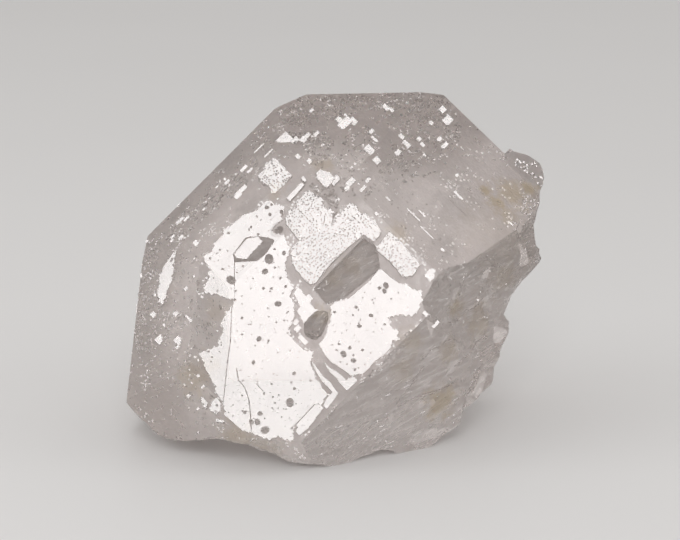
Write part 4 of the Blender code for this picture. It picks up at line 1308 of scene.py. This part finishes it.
class FLUORITE_OT_finish(bpy.types.Operator):
    """Marks the polished, speckled and sparkling faces and gives the crystal its material"""

    bl_idname = "fluorite.finish"
    bl_label = "Surface finish"

    def execute(self, context):
        settings = context.scene.fluorite
        piece = crystal_piece()
        mesh = piece.data
        masks = {name: [0.0] * len(mesh.polygons) for name in ("polished", "speckled", "sparkling")}
        rotate = TO_FACE.to_3x3()
        broken, cleaved = mesh.attributes["broken"].data, mesh.attributes["cleaved"].data
        speckled_levels = [LAYERS[name].level * MM for name in SPECKLED]
        for number, polygon in enumerate(mesh.polygons):
            facing = (rotate @ polygon.normal).z
            level = (TO_FACE @ polygon.center).z
            grown = facing > math.cos(POLISHED_WITHIN) and cleaved[number].value == 0
            if grown and abs(level - GROUND) > 2 * SLACK and level > POLISHED_LOWEST:
                masks["polished"][number] = 1.0
                if any(abs(level - speckled) < SLACK for speckled in speckled_levels):
                    masks["speckled"][number] = 1.0
            elif facing > SPARKLING_LEAST and broken[number].value == 0 and cleaved[number].value == 0:
                masks["sparkling"][number] = 1.0
        for name, values in masks.items():
            layer = mesh.attributes.new(name, "FLOAT", "FACE")
            layer.data.foreach_set("value", values)
        for layer in mesh.uv_layers[:]:
            mesh.uv_layers.remove(layer)
        mesh.materials.clear()
        mesh.materials.append(crystal_material(settings, piece))
        mesh.polygons.foreach_set("material_index", [0] * len(mesh.polygons))
        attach(piece, "root")
        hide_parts(NODE)
        return {"FINISHED"}


def add_softbox(name, rise, azimuth, distance, size, power):
    """A square area light that looks at the crystal from this height and side, in degrees."""
    light = bpy.data.lights.new(name, "AREA")
    light.shape = "SQUARE"
    light.size = size
    light.energy = power
    lamp = bpy.data.objects.new(name, light)
    rise, azimuth = math.radians(rise), math.radians(azimuth)
    way = Vector((math.sin(azimuth) * math.cos(rise), -math.cos(azimuth) * math.cos(rise), math.sin(rise)))
    lamp.location = FACE_CENTRE + way * distance
    lamp.rotation_euler = way.to_track_quat("Z", "Y").to_euler()
    bpy.context.scene.collection.objects.link(lamp)
    return lamp


class FLUORITE_OT_stage(bpy.types.Operator):
    """Adds the pale floor, the soft lights and the camera"""

    bl_idname = "fluorite.stage"
    bl_label = "Studio stage"

    def execute(self, context):
        settings = context.scene.fluorite
        deselect()
        bpy.ops.mesh.primitive_circle_add(
            vertices=96, radius=FLOOR_RADIUS, fill_type="NGON", location=(0, 0, FLOOR_LEVEL))
        floor = context.object
        floor.name = "floor"
        bpy.ops.object.transform_apply(location=True, rotation=False, scale=False)
        paint = bpy.data.materials.new("studio floor")
        paint.use_nodes = True
        tree = paint.node_tree
        shader = tree.nodes["Principled BSDF"].inputs
        shader["Roughness"].default_value = FLOOR_ROUGHNESS
        place = add_node(tree, "ShaderNodeTexCoord").outputs["Object"]
        mask = add_mottle(tree, place, "floor")
        shade = scaled(settings.floor_colour, FLOOR_SHADE)
        link(tree, mix(tree, "RGBA", mask, settings.floor_colour, shade), shader["Base Color"])
        floor.data.materials.append(paint)

        for name, (rise, azimuth, distance, size, share) in SOFTBOXES.items():
            add_softbox(name, rise, azimuth, distance, size, share * settings.light_power)

        world = bpy.data.worlds.new("studio")
        world.use_nodes = True
        feed(world.node_tree, world.node_tree.nodes["Background"].inputs, (SKY_COLOUR, SKY_STRENGTH))
        context.scene.world = world

        lens = bpy.data.cameras.new("camera")
        lens.lens = LENS
        lens.sensor_width = SENSOR
        lens.clip_start = 0.005
        camera = bpy.data.objects.new("camera", lens)
        camera.location = CAMERA_AT
        camera.rotation_euler = (math.radians(90) - CAMERA_RISE, 0, 0)
        context.scene.collection.objects.link(camera)
        context.scene.camera = camera
        context.scene.view_settings.view_transform = "Standard"
        return {"FINISHED"}


class FLUORITE_PT_panel(bpy.types.Panel):
    """The crystal's sizes, colours and steps"""

    bl_idname = "FLUORITE_PT_panel"
    bl_label = "Fluorite crystal"
    bl_space_type = "VIEW_3D"
    bl_region_type = "UI"
    bl_category = "Fluorite"

    def draw(self, context):
        settings = context.scene.fluorite
        for name in FluoriteSettings.__annotations__:
            self.layout.prop(settings, name)
        for step in STEPS:
            self.layout.operator(step.bl_idname)


STEPS = (
    FLUORITE_OT_body,
    FLUORITE_OT_growth_layers,
    FLUORITE_OT_cube_corners,
    FLUORITE_OT_side_layers,
    FLUORITE_OT_pits_and_cracks,
    FLUORITE_OT_cleavage,
    FLUORITE_OT_broken_side,
    FLUORITE_OT_finish,
    FLUORITE_OT_stage,
)
CLASSES = (FluoriteSettings, *STEPS, FLUORITE_PT_panel)


def register():
    """Adds the settings, the steps and the panel."""
    for made in CLASSES:
        bpy.utils.register_class(made)
    bpy.types.Scene.fluorite = bpy.props.PointerProperty(type=FluoriteSettings)


def unregister():
    """Takes the settings, the steps and the panel away again."""
    del bpy.types.Scene.fluorite
    for made in reversed(CLASSES):
        bpy.utils.unregister_class(made)


def main():
    """Makes the crystal and its stage."""
    register()
    bpy.ops.fluorite.body()
    bpy.ops.fluorite.growth_layers()
    bpy.ops.fluorite.cube_corners()
    bpy.ops.fluorite.side_layers()
    bpy.ops.fluorite.pits_and_cracks()
    bpy.ops.fluorite.cleavage()
    bpy.ops.fluorite.broken_side()
    bpy.ops.fluorite.finish()
    bpy.ops.fluorite.stage()


if __name__ == "__main__":
    main()
